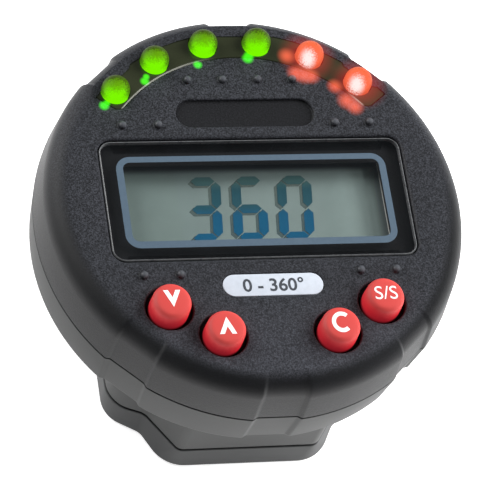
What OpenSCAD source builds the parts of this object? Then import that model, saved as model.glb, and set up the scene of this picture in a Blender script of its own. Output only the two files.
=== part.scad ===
// Digital torque angle gauge: a round head with display, keys and signal lights on a magnetic base.
// Sizes are in millimetres. The base stands on z = 0, the face looks up, the lights are towards +Y.

/* [Head] */
// Diameter of the head at the parting line
head_d = 76; // [75:0.5:82]
// Depth of the front housing, from the face to the parting line
front_depth = 10.2; // [10:0.1:13]
// Radius of the round edge of the face
face_round = 4; // [3:0.1:4.4]
// Draft angle of the side walls
draft = 5.5; // [3:0.5:6]
// Chamfer on the lower edge of the rear housing
rim_chamfer = 1; // [0.4:0.1:1.4]
// Thickness of the face
face_t = 2.6; // [2.5:0.1:3]
// Thickness of the side wall at the parting line
wall = 2.6; // [2.5:0.1:3]
// Thickness of the floor of the rear housing
floor_t = 2.2; // [2:0.1:3]
// Height of the lip that centres the two housings
lip_h = 1.1; // [0.8:0.1:1.6]
// Thickness of that lip
lip_t = 0.9; // [0.7:0.1:1]

/* [Grip flutes] */
// Width of a flute at the surface of the wall
flute_w = 9.4; // [7:0.2:11]
// Depth of a flute below the surface of the wall
flute_depth = 0.7; // [0.3:0.1:0.8]
// Width of the sloping end of a flute
flute_ramp = 1.1; // [0.5:0.1:2]
// Angle between neighbouring flutes of one set of three
flute_step = 42.3; // [30:0.5:48]

/* [Face trim] */
// Pitch of the raised dots
dot_pitch = 6.4; // [5:0.1:7]
// Diameter of a raised dot
dot_d = 1.7; // [1:0.1:2.2]
// Distance of the top row of dots from the lens
top_dots_drop = 4.7; // [4:0.1:5.4]
// Distance of the side rows of dots from the window plate
side_dots_rise = 3; // [2.4:0.1:3.6]
// Length of the bare recess above the display
recess_l = 25; // [18:0.5:28]
// Height of the bare recess above the display
recess_h = 5.5; // [4:0.1:6]
// Depth of the bare recess
recess_depth = 0.6; // [0.3:0.1:1]
// Length of the label below the display
label_l = 17.8; // [12:0.2:20]
// Height of the label
label_h = 4.2; // [3:0.1:4.6]
// Thickness of the label
label_t = 0.4; // [0.2:0.1:0.6]
// Place of the recess and of the label between window plate (0) and lens (1)
trim_share = 0.3175; // [0.305:0.0025:0.34]

/* [Display] */
// Distance of the display glass from the outside of the head, sideways
glass_margin = 12.6; // [12.4:0.1:13]
// Height of the front display glass as a share of its width
glass_ratio = 0.4252; // [0.4:0.001:0.44]
// Overlap of the window plate past the sides of the display glass
window_side = 1.8; // [1:0.1:2]
// Overlap of the window plate past the top and bottom of the display glass
window_top = 0.9; // [0.5:0.1:1.2]
// Corner radius of the window plate
window_r = 2.3; // [1:0.1:3]
// Thickness of the window plate
window_t = 1.5; // [1:0.1:1.5]
// Step of the window plate below the face
window_step = 0.2; // [0.1:0.1:0.4]
// Thickness of the printed mask behind the window
mask_t = 0.15; // [0.1:0.05:0.25]
// Distance of the clear opening from the sides of the display glass
view_side = 2.3; // [2:0.1:4]
// Distance of the clear opening from the top and bottom of the display glass
view_top = 3.25; // [3:0.05:4.8]
// Depth of the display glass below the mask
glass_drop = 2.4; // [2:0.1:2.8]
// Thickness of one display glass
glass_t = 1.1; // [0.7:0.1:1.2]
// Thickness of the reflector behind the display
reflector_t = 0.25; // [0.15:0.05:0.4]
// Wall of the display holder
holder_wall = 1.6; // [1.2:0.1:1.8]
// Width of a contact strip between display and board
strip_w = 1.6; // [1.2:0.1:1.6]

/* [Signal lights] */
// Distance of the lens from the outside of the head
lens_margin = 3.4; // [3.2:0.1:4]
// Width of the lens band
lens_band = 6.2; // [6:0.1:6.4]
// Angle spanned by the lens
lens_span = 104; // [103:0.5:106]
// Radius of the lens corners
lens_corner = 1.6; // [0.6:0.1:2]
// Thickness of the lens
lens_t = 1.2; // [0.8:0.1:1.3]
// Step of the lens below the face
lens_step = 0.12; // [0.05:0.01:0.2]
// Width of the ledge that carries the lens
lens_ledge = 0.4; // [0.3:0.05:0.5]
// Angle between neighbouring lights
led_step = 17.9; // [15:0.1:18]
// Turn of the row of lights from the middle of the lens
led_turn = 1.5; // [-1.5:0.1:1.5]
// Diameter of a light
led_d = 5; // [3:0.1:5]
// Length of a light from its flange to its top
led_l = 8.6; // [7.6:0.1:9]
// Height of a light above the face
led_rise = 3; // [1.6:0.1:3.2]

/* [Keys] */
// Distance of the key circle from the outside of the head
key_margin = 9.9; // [9.7:0.1:10.6]
// Angle between neighbouring keys of a pair
key_step = 21; // [20.5:0.1:22]
// Space between the flanges of neighbouring keys
key_space = 0.64; // [0.4:0.02:1.6]
// Gap between a key cap and its hole
key_gap = 0.7; // [0.3:0.05:0.8]
// Height of a key cap above the face
key_rise = 3; // [2:0.1:4]
// Radius of the soft edge of a key cap
key_round = 1; // [0.4:0.1:1.6]
// Width of the flange that holds a key cap in
key_flange = 1.3; // [1.1:0.1:1.4]
// Thickness of that flange
key_flange_t = 1.2; // [0.8:0.1:1.4]
// Travel of a key
key_travel = 0.8; // [0.3:0.1:0.9]

/* [Board] */
// Distance of the board from the inside of the wall
board_gap = 0.8; // [0.6:0.1:1.2]
// Thickness of the board
board_t = 1.6; // [1:0.1:1.6]
// Height of the board above the floor
board_rise = 5.6; // [5.4:0.1:7]
// Side of a switch
switch_w = 6; // [5:0.1:6.2]
// Height of a switch
switch_h = 3.5; // [3:0.1:3.8]
// Diameter of a switch plunger
plunger_d = 3.5; // [2.5:0.1:3.8]
// Height of a switch plunger above its switch
plunger_rise = 1.5; // [1.2:0.1:1.6]

/* [Base] */
// Length of the base
base_l = 66.8; // [65:0.2:68]
// Width of the base
base_w = 48.2; // [47:0.2:50]
// Length of the straight nose of the base
nose_l = 25.2; // [24:0.2:26]
// Sideways place of the waist behind the nose
waist_x = 17.8; // [17:0.1:18.4]
// Lengthwise place of the waist behind the nose
waist_y = 26.1; // [25.6:0.1:26.6]
// Lengthwise place of the shoulder
shoulder_y = 23.7; // [23:0.1:24.2]
// Corner radius of the nose
nose_r = 2; // [0.5:0.1:2.5]
// Corner radius of the waist
waist_r = 3; // [1.5:0.1:4]
// Corner radius of the shoulder
shoulder_r = 5.5; // [3:0.1:6]
// Wall of the base and of its cover
base_wall = 2.4; // [1.8:0.1:2.8]
// Length of the base cover
cover_l = 68; // [67.4:0.2:68.6]
// Length of the straight nose of the base cover, measured between its corners
cover_nose_l = 28.4; // [27.6:0.2:29]
// Lengthwise place of the waist of the base cover
cover_waist_y = 27.3; // [27:0.1:27.6]
// Corner radius of the nose of the base cover
cover_nose_r = 6.6; // [4:0.1:7]
// Height of the base cover
cover_h = 5.8; // [5.6:0.1:7]
// Floor of the base cover
cover_floor = 1.6; // [1.2:0.1:2]
// Width of the shadow groove between cover and housing
groove_h = 0.35; // [0.2:0.05:0.6]
// Depth of that groove
groove_depth = 0.8; // [0.4:0.1:1.2]

/* [Magnets] */
// Diameter of a magnet
magnet_d = 18; // [14:0.5:19]
// Thickness of a magnet
magnet_t = 4; // [3:0.1:4.2]
// Distance of a magnet from the centre of the base
magnet_y = 13.5; // [12:0.1:15]
// Wall of the cup around a magnet
cup_wall = 1.4; // [1:0.1:1.8]

/* [Battery] */
// Diameter of a cell
cell_d = 10.5; // [10.3:0.1:10.6]
// Length of a cell with its tip
cell_l = 44.5; // [44:0.1:44.6]
// Length of the pressed spring at the end of a cell
spring_l = 5; // [4:0.1:5.6]
// Thickness of a contact plate
plate_t = 0.5; // [0.3:0.05:0.6]
// Wall of the battery bay
bay_wall = 1.6; // [1.2:0.1:2]

/* [Screws] */
// Shank diameter of the shell and cover screws
screw_d = 2.2; // [2:0.1:2.4]
// Length of a shell screw
shell_screw_l = 12; // [10:0.5:12.5]
// Length of a cover screw
cover_screw_l = 10; // [8:0.5:11]
// Diameter of a boss for a shell screw
boss_d = 6.8; // [6.6:0.1:7]

/* [Hidden] */
$fn = 64;

// General fits: cutters pass the faces they open by this much, and loose pieces have these gaps
over = 1;
fit = 0.1;
gap = 0.2;

// Heights, from the base upwards
cell_gap = 0.3;
bay_h = cell_d + 2 * cell_gap;
underside_z = cover_h + bay_h;
floor_z = underside_z + floor_t;
board_z = floor_z + board_rise;
board_top = board_z + board_t;
parting_z = board_top;
face_z = parting_z + front_depth;
inside_z = face_z - face_t;

// Head
head_r = head_d / 2;
cavity_r = head_r - wall;
round_z = face_z - face_round;
flat_r = head_r - (round_z - parting_z + face_round * sin(draft)) * tan(draft) - face_round * cos(draft);
rim_r = head_r - (parting_z - underside_z - rim_chamfer) * tan(draft);
lip_r = cavity_r + lip_t + 3 * fit;
flute_bite = 0.05;
flute_angles = [for (side = [90, -90], turn = [-1, 0, 1]) side + turn * flute_step];
boss_margin = 5.8;
boss_r = head_r - boss_margin;
boss_angle = 14.4;
boss_places = [for (a = [boss_angle, 180 - boss_angle, 180 + boss_angle, -boss_angle])
    boss_r * [cos(a), sin(a)]];
recess_fit = 0.15;

// Display, as wide as the head allows, from the window downwards
glass_w = head_d - 2 * glass_margin;
glass_h = glass_w * glass_ratio;
rear_glass_h = glass_h - 2 * (strip_w + gap);
window_w = glass_w + 2 * window_side;
window_h = glass_h + 2 * window_top;
view_w = glass_w - 2 * view_side;
view_h = glass_h - 2 * view_top;
window_z = face_z - window_step - window_t;
ledge_z = window_z - mask_t;
glass_z = ledge_z - glass_drop;
contact_z = glass_z - glass_t;
reflector_z = contact_z - glass_t;
rail_z = reflector_z - reflector_t;
ledge_w = 2;
holder_w = glass_w + 2 * (gap + holder_wall);
holder_h = glass_h + 2 * (gap + holder_wall);
rail_w = 1.2;
rail_inset = 1.5;
rail_y = rear_glass_h / 2 - rail_inset;
pin_d = 1.4;
pin_places = [for (x = [-1, 1], y = [-1, 1])
    [x * (holder_w - holder_wall) / 2, y * (holder_h - holder_wall) / 2]];

// Signal lights
lens_outer = head_r - lens_margin;
lens_inner = lens_outer - lens_band;
lens_z = face_z - lens_step - lens_t;
led_ring = (lens_outer + lens_inner) / 2;
led_angles = [for (place = [0:5]) 90 + led_turn + (2.5 - place) * led_step];
led_top = face_z + led_rise;
led_base = led_top - led_l;
led_flange = 0.4;
led_flange_t = 1;
lead_w = 0.5;
lead_pitch = 2.54;
lead_tail = 1;
lead_stop_w = 1.3;
lead_stop_h = 0.8;

// Trim of the face
top_dots_y = lens_inner - top_dots_drop;
side_dots_y = window_h / 2 + side_dots_rise;
trim_y = window_h / 2 + trim_share * (lens_inner - window_h / 2);

// Keys, in reading order from the left: down, up, clear and start
key_ring = head_r - key_margin;
key_pitch = 2 * key_ring * sin(key_step / 2);
key_d = key_pitch - 2 * key_flange - key_space;
key_r = key_d / 2;
key_angles = [for (turn = [-2, -1, 1, 2]) -90 + turn * key_step];
flange_z = inside_z - fit - key_flange_t;
plunger_top = board_top + switch_h + plunger_rise;
plunger_in = 1.3;
plunger_gap = 0.1;
post_r = 2;
notch_w = 1.6;
notch_depth = 0.8;
rib_w = 1;

// Board
board_r = cavity_r - board_gap;
board_screw_d = 2;
board_boss_d = 5;
board_screw_l = 6;
part_x = 14;
part_y = 12;
board_boss_gap = 6.4;
key_drop = 5.6;
board_boss_x = 0.285 * glass_w;
board_boss_y = holder_h / 2 + board_boss_gap;
board_places = [[-board_boss_x, board_boss_y], [board_boss_x, board_boss_y], [0, key_drop - key_ring]];

// Base and battery
shoulder = [base_w / 2, shoulder_y, shoulder_r];
base_quarter = [shoulder, [waist_x, waist_y, waist_r], [nose_l / 2, base_l / 2, nose_r]];
cover_quarter = [shoulder, [waist_x, cover_waist_y, waist_r], [cover_nose_l / 2, cover_l / 2, cover_nose_r]];
cell_split = 0.3;
cell_x = (cell_d + cell_split) / 2;
cell_z = cover_h + cell_gap + cell_d / 2;
tip_d = 3.8;
tip_l = 0.8;
bay_w = 4 * (cell_x + gap);
bay_l = cell_l + spring_l + 2 * plate_t;
plate_side = 0.75;
plate_top = 0.5;
plate_w = cell_d - 2 * plate_side;
plate_h = cell_d - 2 * plate_top;
tab_w = 2.5;
tab_rise = 1.2;
lead_d = 1.3;
lead_bend = 2.2;
wire_d = 0.7;
coil_d = 6.5;
coil_turns = 3;
cover_boss_d = 6.6;
cover_boss_sink = 0.4;
cover_boss_back = 6;
cover_boss_x = base_w / 2 - base_wall - cover_boss_d / 2 + cover_boss_sink;
cover_boss_y = shoulder_y - cover_boss_back;
cover_places = [for (x = [-1, 1], y = [-1, 1]) [x * cover_boss_x, y * cover_boss_y]];
magnet_step = 0.1;
corner_bite = 0.004;

// Screws
head_w = 2;
head_h = 1.5;
head_sunk = 0.2;
shell_seat = underside_z + head_h + head_sunk;
cover_seat = head_h + 3 * head_sunk;

// Rounded outlines: each corner is [x, y, radius], counter-clockwise
function corner(list, i) = list[(i + len(list)) % len(list)];
function spot(c) = [c[0], c[1]];
function unit(v) = v / norm(v);
function heading(list, i) = unit(spot(corner(list, i + 1)) - spot(corner(list, i)));
function left_of(v) = [-v[1], v[0]];
function convex(list, i) = cross(heading(list, i - 1), heading(list, i)) > 0;
function tangent_l(list, i) = list[i][2] * tan(acos(heading(list, i - 1) * heading(list, i)) / 2);
function tangents(list, i) = [spot(list[i]) - tangent_l(list, i) * heading(list, i - 1),
    spot(list[i]) + tangent_l(list, i) * heading(list, i)];
function fillet_spot(list, i) = tangents(list, i)[0]
    + (convex(list, i) ? 1 : -1) * list[i][2] * left_of(heading(list, i - 1));
function shrunk_corner(list, i, d, n1, n2) = concat(spot(list[i]) + d * (n1 + n2) / (1 + n1 * n2),
    [convex(list, i) ? max(list[i][2] - d, 0.3) : list[i][2] + d]);
function shrunk(list, d) = [for (i = [0:len(list) - 1])
    shrunk_corner(list, i, d, left_of(heading(list, i - 1)), left_of(heading(list, i)))];

function mirrored(quarter) = concat(
    quarter,
    [for (i = [2, 1, 0]) [-quarter[i][0], quarter[i][1], quarter[i][2]]],
    [for (i = [0, 1, 2]) [-quarter[i][0], -quarter[i][1], quarter[i][2]]],
    [for (i = [2, 1, 0]) [quarter[i][0], -quarter[i][1], quarter[i][2]]]);

// The bite makes the corner circles a trace larger, so that they cross the sides and leave no slivers
module rounded_polygon(list, bite = 0) {
    difference() {
        union() {
            polygon([for (i = [0:len(list) - 1]) each tangents(list, i)]);
            for (i = [0:len(list) - 1])
                if (convex(list, i)) translate(fillet_spot(list, i)) circle(r = list[i][2] + bite);
        }
        for (i = [0:len(list) - 1])
            if (!convex(list, i)) translate(fillet_spot(list, i)) circle(r = list[i][2] + bite);
    }
}

module rounded_rect(w, h, r) {
    rounded_polygon([[w / 2, -h / 2, r], [w / 2, h / 2, r], [-w / 2, h / 2, r], [-w / 2, -h / 2, r]]);
}

module pill(l, h) {
    square([l - h, h], center = true);
    for (x = [-1, 1]) translate([x * (l - h) / 2, 0]) circle(d = h);
}

// A plate of a flat outline, from one height to another
module plate(z1, z2) {
    translate([0, 0, z1]) linear_extrude(z2 - z1) children();
}

module rod(z1, z2, d) {
    translate([0, 0, z1]) cylinder(d = d, h = z2 - z1);
}

module at(places) {
    for (p = places) translate(p) children();
}

module on_ring(r, angle) {
    rotate(angle) translate([r, 0, 0]) children();
}

// Outline of the neck, shrunk all round by d
module base_outline(d = 0) {
    rounded_polygon(shrunk(mirrored(base_quarter), d), corner_bite);
}

// Ring sector between two radii, half_angle to each side of +X
module sector(r1, r2, half_angle) {
    reach = r2 / cos(half_angle);
    intersection() {
        difference() {
            circle(r = r2);
            circle(r = r1);
        }
        polygon([[0, 0], reach * [cos(half_angle), -sin(half_angle)], [reach, 0],
            reach * [cos(half_angle), sin(half_angle)]]);
    }
}

// Band of the lens with round corners, centred on +Y
module lens_outline(d = 0) {
    r1 = lens_inner + d;
    r2 = lens_outer - d;
    c = lens_corner - d;
    mid = (r1 + r2) / 2;
    half = lens_span / 2 - asin(d / mid);
    turn_in = half - asin(c / (r1 + c));
    turn_out = half - asin(c / (r2 - c));
    rotate(90) {
        sector(r1 + c, r2 - c, half);
        sector(r1, mid, turn_in);
        sector(mid, r2, turn_out);
        for (side = [-1, 1]) {
            rotate(side * turn_in) translate([r1 + c, 0]) circle(r = c);
            rotate(side * turn_out) translate([r2 - c, 0]) circle(r = c);
        }
    }
}

// Half section of the front of the head, with the round edge tangent to face and wall
module front_section() {
    polygon([[0, parting_z], [head_r, parting_z],
        [flat_r + face_round * cos(draft), round_z + face_round * sin(draft)],
        [flat_r, face_z], [0, face_z]]);
    translate([flat_r, round_z]) circle(r = face_round);
}

module rim_section() {
    polygon([[0, underside_z], [rim_r - rim_chamfer, underside_z], [rim_r, underside_z + rim_chamfer],
        [head_r, parting_z], [0, parting_z]]);
}

// Cross section of a flute: x is the height over its floor, y runs across it
module flute_section() {
    slope = flute_ramp / flute_depth;
    floor_half = flute_w / 2 - flute_ramp;
    top = flute_depth + over;
    polygon([[0, -floor_half], [top, -floor_half - top * slope], [top, floor_half + top * slope],
        [0, floor_half]]);
}

// Flute along +X in the front housing: straight up the wall, then rolled over the round edge until it
// fades into the face. The straight run is a trace deeper, so that the two runs meet in a clean crease
module front_flute() {
    translate([head_r - flute_depth - flute_bite, 0, parting_z])
        rotate([0, -draft, 0]) plate(-over, front_depth + 2 * over) flute_section();
    translate([flat_r - flute_depth, 0, round_z])
        rotate([90, -draft, 0]) rotate_extrude(angle = 90 - draft)
            translate([face_round, 0]) flute_section();
}

// The same flute carried down the rim of the rear housing
module rear_flute() {
    translate([head_r - flute_depth - flute_bite, 0, parting_z])
        rotate([0, draft, 0]) plate(underside_z - parting_z - 2 * over, over) flute_section();
}

// Pan head screw, pointing up from the seat of its head
module screw(seat_z, l, d) {
    slot_l = d;
    slot_w = d / 4;
    color("#8f9296") difference() {
        union() {
            rod(seat_z - head_h, seat_z, d + head_w);
            rod(seat_z - fit, seat_z + l - d, d);
            translate([0, 0, seat_z + l - d]) cylinder(d1 = d, d2 = d / 3, h = d);
        }
        for (turn = [0, 90])
            rotate(turn) translate([-slot_l / 2, -slot_w / 2, seat_z - head_h - over])
                cube([slot_l, slot_w, over + head_h / 2]);
    }
}

module screws(places, seat_z, l, d) {
    at(places) screw(seat_z, l, d);
}

// Moulded front: face, wall, screw bosses and the ribs that keep the keys from turning
module front_housing() {
    color("#2b2b2d") difference() {
        union() {
            difference() {
                rotate_extrude() front_section();
                rod(parting_z - over, inside_z, 2 * cavity_r);
                rod(parting_z - over, parting_z + lip_h + fit, 2 * (lip_r + fit));
                for (a = flute_angles) rotate(a) front_flute();
            }
            at(boss_places) rod(board_top, inside_z + fit, boss_d);
            at(board_places) rod(board_top, inside_z + fit, board_boss_d);
            for (a = key_angles)
                on_ring(key_ring - key_r - key_flange + gap, a)
                    translate([-rib_w, -rib_w / 2, flange_z - gap])
                        cube([rib_w + gap, rib_w, inside_z - flange_z + gap + fit]);
            for (x = [-1.5, -0.5, 0.5, 1.5])
                translate([x * dot_pitch, top_dots_y, face_z]) sphere(d = dot_d);
            for (x = [-3.5, -2.5, 2.5, 3.5], y = [-side_dots_y, side_dots_y])
                translate([x * dot_pitch, y, face_z]) sphere(d = dot_d);
        }
        plate(ledge_z, face_z + over) rounded_rect(window_w + 2 * gap, window_h + 2 * gap, window_r + gap);
        plate(inside_z - over, face_z)
            square([window_w - 2 * ledge_w, window_h - 2 * ledge_w], center = true);
        plate(lens_z, face_z + over) lens_outline(-fit);
        plate(inside_z - over, face_z) lens_outline(lens_ledge);
        plate(face_z - recess_depth, face_z + over) translate([0, trim_y]) pill(recess_l, recess_h);
        plate(face_z - label_t, face_z + over)
            translate([0, -trim_y]) pill(label_l + 2 * recess_fit, label_h + 2 * recess_fit);
        for (a = key_angles) on_ring(key_ring, a) rod(inside_z - over, face_z + over, key_d + 2 * key_gap);
        at(boss_places) rod(board_top - over, shell_seat + shell_screw_l + over, screw_d + fit);
        at(board_places) rod(board_top - over, board_z + board_screw_l + over, board_screw_d + fit);
    }
}

// Moulded rear: shallow pan of the head, neck with the battery bay, bosses for shell and cover
module rear_housing() {
    color("#2b2b2d") difference() {
        union() {
            difference() {
                union() {
                    rotate_extrude() rim_section();
                    plate(cover_h, underside_z + fit) base_outline();
                }
                rod(floor_z, parting_z + over, 2 * cavity_r);
                plate(cover_h - over, underside_z) base_outline(base_wall);
                for (a = flute_angles) rotate(a) rear_flute();
            }
            difference() {
                rod(parting_z - fit, parting_z + lip_h, 2 * lip_r);
                rod(parting_z - over, parting_z + lip_h + over, 2 * (lip_r - lip_t));
            }
            at(boss_places) rod(floor_z - fit, board_z, boss_d);
            plate(cover_h, underside_z + fit)
                square([bay_w + 2 * bay_wall, bay_l + 2 * bay_wall], center = true);
            at(cover_places) rod(cover_h, underside_z + fit, cover_boss_d);
        }
        plate(cover_h - over, underside_z) square([bay_w, bay_l], center = true);
        at(boss_places) {
            rod(underside_z - over, board_z + over, screw_d + 4 * fit);
            rod(underside_z - over, shell_seat, screw_d + head_w + 4 * fit);
        }
        at(cover_places) rod(cover_h - over, cover_seat + cover_screw_l + over, screw_d + fit);
        for (x = [-cell_x, cell_x])
            translate([x - tab_w / 2 - gap, bay_l / 2 - plate_t - gap, underside_z - over])
                cube([tab_w + 2 * gap, plate_t + gap, floor_t + 2 * over]);
    }
}

// Base cover: tray that closes the battery bay from below and carries the magnets. Its skirt is fuller
// than the neck, and the rim inside it stands back under the neck, which leaves the shadow groove
module base_cover() {
    color("#2b2b2d") difference() {
        union() {
            difference() {
                union() {
                    plate(0, cover_h - groove_h) rounded_polygon(mirrored(cover_quarter), corner_bite);
                    plate(cover_floor, cover_h) base_outline(groove_depth);
                }
                plate(cover_floor, cover_h + over) base_outline(base_wall);
            }
            for (y = [-magnet_y, magnet_y])
                translate([0, y]) rod(cover_floor - fit, cover_h, magnet_d + 2 * (fit + cup_wall));
            at(cover_places) rod(cover_floor - fit, cover_h, cover_boss_d);
        }
        for (y = [-magnet_y, magnet_y])
            translate([0, y]) rod(-over, magnet_t + magnet_step, magnet_d + 2 * fit);
        at(cover_places) {
            rod(-over, cover_h + over, screw_d + 4 * fit);
            rod(-over, cover_seat, screw_d + head_w + 4 * fit);
        }
    }
}

module magnet(y) {
    color("#b9bcc0") translate([0, y]) rod(magnet_step, magnet_t + magnet_step, magnet_d);
}

// Smoked strip with a round hole for each signal light
module led_lens() {
    color("#3a3a30") plate(lens_z, lens_z + lens_t) difference() {
        lens_outline();
        for (a = led_angles) on_ring(led_ring, a) circle(d = led_d + 2 * fit);
    }
}

// Round signal light with flange and two leads that stand on the board, its place counted from the left
module led(i, shade) {
    dome_r = led_d / 2;
    color(shade) on_ring(led_ring, led_angles[i]) {
        rod(led_base, led_base + led_flange_t, led_d + 2 * led_flange);
        rod(led_base, led_top - dome_r, led_d);
        translate([0, 0, led_top - dome_r]) intersection() {
            sphere(r = dome_r);
            cylinder(r = led_d, h = led_d);
        }
        for (side = [-1, 1]) translate([0, side * lead_pitch / 2]) {
            plate(board_z - lead_tail, led_base + fit) square(lead_w, center = true);
            plate(board_top, board_top + lead_stop_h) square([lead_w, lead_stop_w], center = true);
        }
    }
}

module display_window() {
    color("#15171a") plate(window_z, window_z + window_t) rounded_rect(window_w, window_h, window_r);
}

module window_mask() {
    color("black") plate(ledge_z, window_z) difference() {
        rounded_rect(window_w, window_h, window_r);
        square([view_w, view_h], center = true);
    }
}

module lcd_front_glass() {
    color("#8d9a90") plate(contact_z, glass_z) square([glass_w, glass_h], center = true);
}

module lcd_rear_glass() {
    color("#8d9a90") plate(reflector_z, contact_z) square([glass_w, rear_glass_h], center = true);
}

module lcd_reflector() {
    color("#a3aba1") plate(rail_z, reflector_z) square([glass_w, rear_glass_h], center = true);
}

// Frame that presses the display and its contact strips on the board
module lcd_holder() {
    lip = 1.6;
    color("#d9d9d4") {
        difference() {
            plate(board_top, inside_z - gap) square([holder_w, holder_h], center = true);
            plate(board_top - over, glass_z)
                square([glass_w + 2 * gap, glass_h + 2 * gap], center = true);
            plate(board_top - over, inside_z + over)
                square([glass_w - 2 * lip, glass_h - 2 * lip], center = true);
        }
        for (y = [-rail_y, rail_y])
            translate([-holder_w / 2 + fit, y - rail_w / 2, board_top])
                cube([holder_w - 2 * fit, rail_w, rail_z - board_top]);
        at(pin_places) rod(board_z, board_top + fit, pin_d);
    }
}

module contact_strip(side) {
    color("#c9a9a9") translate([0, side * (glass_h - strip_w) / 2])
        plate(board_top, contact_z) square([glass_w - 2, strip_w], center = true);
}

module main_board() {
    color("#1f6b3a") difference() {
        rod(board_z, board_top, 2 * board_r);
        at(boss_places) rod(board_z - over, board_top + over, screw_d + 6 * fit);
        at(board_places) rod(board_z - over, board_top + over, board_screw_d + 3 * fit);
        at(pin_places) rod(board_z - over, board_top + over, pin_d + 2 * fit);
        for (a = led_angles, side = [-1, 1])
            on_ring(led_ring, a)
                translate([0, side * lead_pitch / 2]) rod(board_z - over, board_top + over, 2 * lead_w);
    }
}

// Push switch under a key, without its plunger
module switch(i) {
    leg_w = 0.7;
    leg_t = 0.3;
    leg_l = 1.2;
    color("#202020") on_ring(key_ring, key_angles[i]) {
        difference() {
            plate(board_top, board_top + switch_h) square(switch_w, center = true);
            rod(plunger_top - plunger_rise - plunger_in - key_travel - gap, board_top + switch_h + over,
                plunger_d + 2 * plunger_gap);
        }
        for (x = [-1, 1], y = [-1, 1])
            translate([x * (switch_w + leg_l) / 2, y * switch_w / 3, board_top])
                plate(0, leg_t) square([leg_l + fit, leg_w], center = true);
    }
}

module plunger(i) {
    color("#e8e4da") on_ring(key_ring, key_angles[i])
        rod(plunger_top - plunger_rise - plunger_in, plunger_top, plunger_d);
}

// Key cap: soft edged button, a flange below the face and a post on the switch
module key(i) {
    top = face_z + key_rise;
    flange_r = key_r + key_flange;
    color("#d2151f") on_ring(key_ring, key_angles[i]) {
        difference() {
            rotate_extrude() {
                translate([0, flange_z]) square([key_r, top - key_round - flange_z]);
                translate([0, flange_z]) square([key_r - key_round, top - flange_z]);
                translate([key_r - key_round, top - key_round]) circle(r = key_round);
                translate([0, flange_z]) square([flange_r, key_flange_t]);
            }
            translate([-flange_r - over, -notch_w / 2, flange_z - over])
                cube([over + notch_depth, notch_w, key_flange_t + 2 * over]);
        }
        rod(plunger_top, flange_z + fit, 2 * post_r);
    }
}

module microcontroller() {
    side = 10;
    chip_h = 1.4;
    legs = 8;
    pitch = 1;
    color("#1b1b1d") {
        plate(board_top + fit, board_top + chip_h) square(side, center = true);
        for (turn = [0:90:270], i = [0:legs - 1])
            rotate(turn) translate([side / 2 - fit, (i - (legs - 1) / 2) * pitch - pitch / 5, board_top])
                cube([pitch, 0.4 * pitch, chip_h / 2]);
    }
}

// Turn sensor: flat package with a raised lid
module gyro_sensor() {
    side = 5;
    lid_side = 4.6;
    body_h = 0.9;
    lid_h = 0.3;
    color("#26282b") translate([-part_x, 0]) {
        plate(board_top, board_top + body_h) square(side, center = true);
        plate(board_top, board_top + body_h + lid_h) square(lid_side, center = true);
    }
}

// Timing crystal lying on the board
module crystal() {
    can_d = 3;
    can_l = 8;
    leg_d = 0.4;
    leg_l = 1;
    leg_y = can_d / 5;
    color("#c6c8ca") translate([part_x, 0, board_top + can_d / 2]) rotate([0, 90, 0]) {
        cylinder(d = can_d, h = can_l, center = true);
        for (y = [-leg_y, leg_y]) translate([0, y, -can_l / 2 - leg_l]) cylinder(d = leg_d, h = leg_l + fit);
    }
}

// Can capacitor hanging below the board
module capacitor() {
    can_d = 5;
    can_h = 4.2;
    foot_w = 5.3;
    foot_h = 0.8;
    color("#b7babd") translate([-part_x, -part_y]) {
        rod(board_z - foot_h - can_h, board_z - foot_h, can_d);
        plate(board_z - foot_h - fit, board_z) square(foot_w, center = true);
    }
}

// Sounder hanging below the board, with its sound hole
module buzzer() {
    can_d = 12;
    can_h = 4.6;
    hole_d = 2.4;
    hole_depth = 0.6;
    color("#1a1a1a") translate([part_x, -part_y]) difference() {
        rod(board_z - can_h, board_z, can_d);
        rod(board_z - can_h - over, board_z - can_h + hole_depth, hole_d);
    }
}

// Cell along Y, its tip towards the given side
module battery(side) {
    color("#7d8790") translate([-side * cell_x, side * (bay_l / 2 - plate_t), cell_z])
        rotate([side * 90, 0, 0]) {
            rod(0, tip_l + fit, tip_d);
            rod(tip_l, cell_l, cell_d);
        }
}

// Flat contact at the +Y end of the bay, with a tab up through the floor
module terminal_contact(x) {
    color("#c8c2ae") translate([x, bay_l / 2, 0]) {
        translate([-plate_w / 2, -plate_t, cell_z - plate_h / 2]) cube([plate_w, plate_t, plate_h]);
        translate([-tab_w / 2, -plate_t, cell_z])
            cube([tab_w, plate_t, floor_z + tab_rise - cell_z]);
    }
}

module bridge_contact() {
    bridge_w = 2 * cell_x + plate_w;
    color("#c8c2ae") translate([-bridge_w / 2, -bay_l / 2, cell_z - plate_h / 2])
        cube([bridge_w, plate_t, plate_h]);
}

// Coil spring between a contact plate and the flat end of a cell, as a swept round wire
module cell_spring(side) {
    rings = 16;
    sides = 8;
    count = rings * coil_turns;
    rise = spring_l - wire_d - fit;
    ring_r = coil_d / 2;
    points = [for (i = [0:count], j = [0:sides - 1])
        let (a = 360 * i / rings, b = 360 * j / sides, r = ring_r + wire_d / 2 * cos(b))
            [r * cos(a), r * sin(a), rise * i / count + wire_d / 2 * sin(b)]];
    skin = [for (i = [0:count - 1], j = [0:sides - 1])
        let (k = (j + 1) % sides)
            [i * sides + j, i * sides + k, (i + 1) * sides + k, (i + 1) * sides + j]];
    ends = [[for (j = [sides - 1:-1:0]) j], [for (j = [0:sides - 1]) count * sides + j]];
    color("#d0d2d4") translate([side * cell_x, side * (bay_l / 2 - plate_t - (wire_d + fit) / 2), cell_z])
        rotate([side * 90, 0, 0]) polyhedron(points, concat(skin, ends));
}

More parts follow.
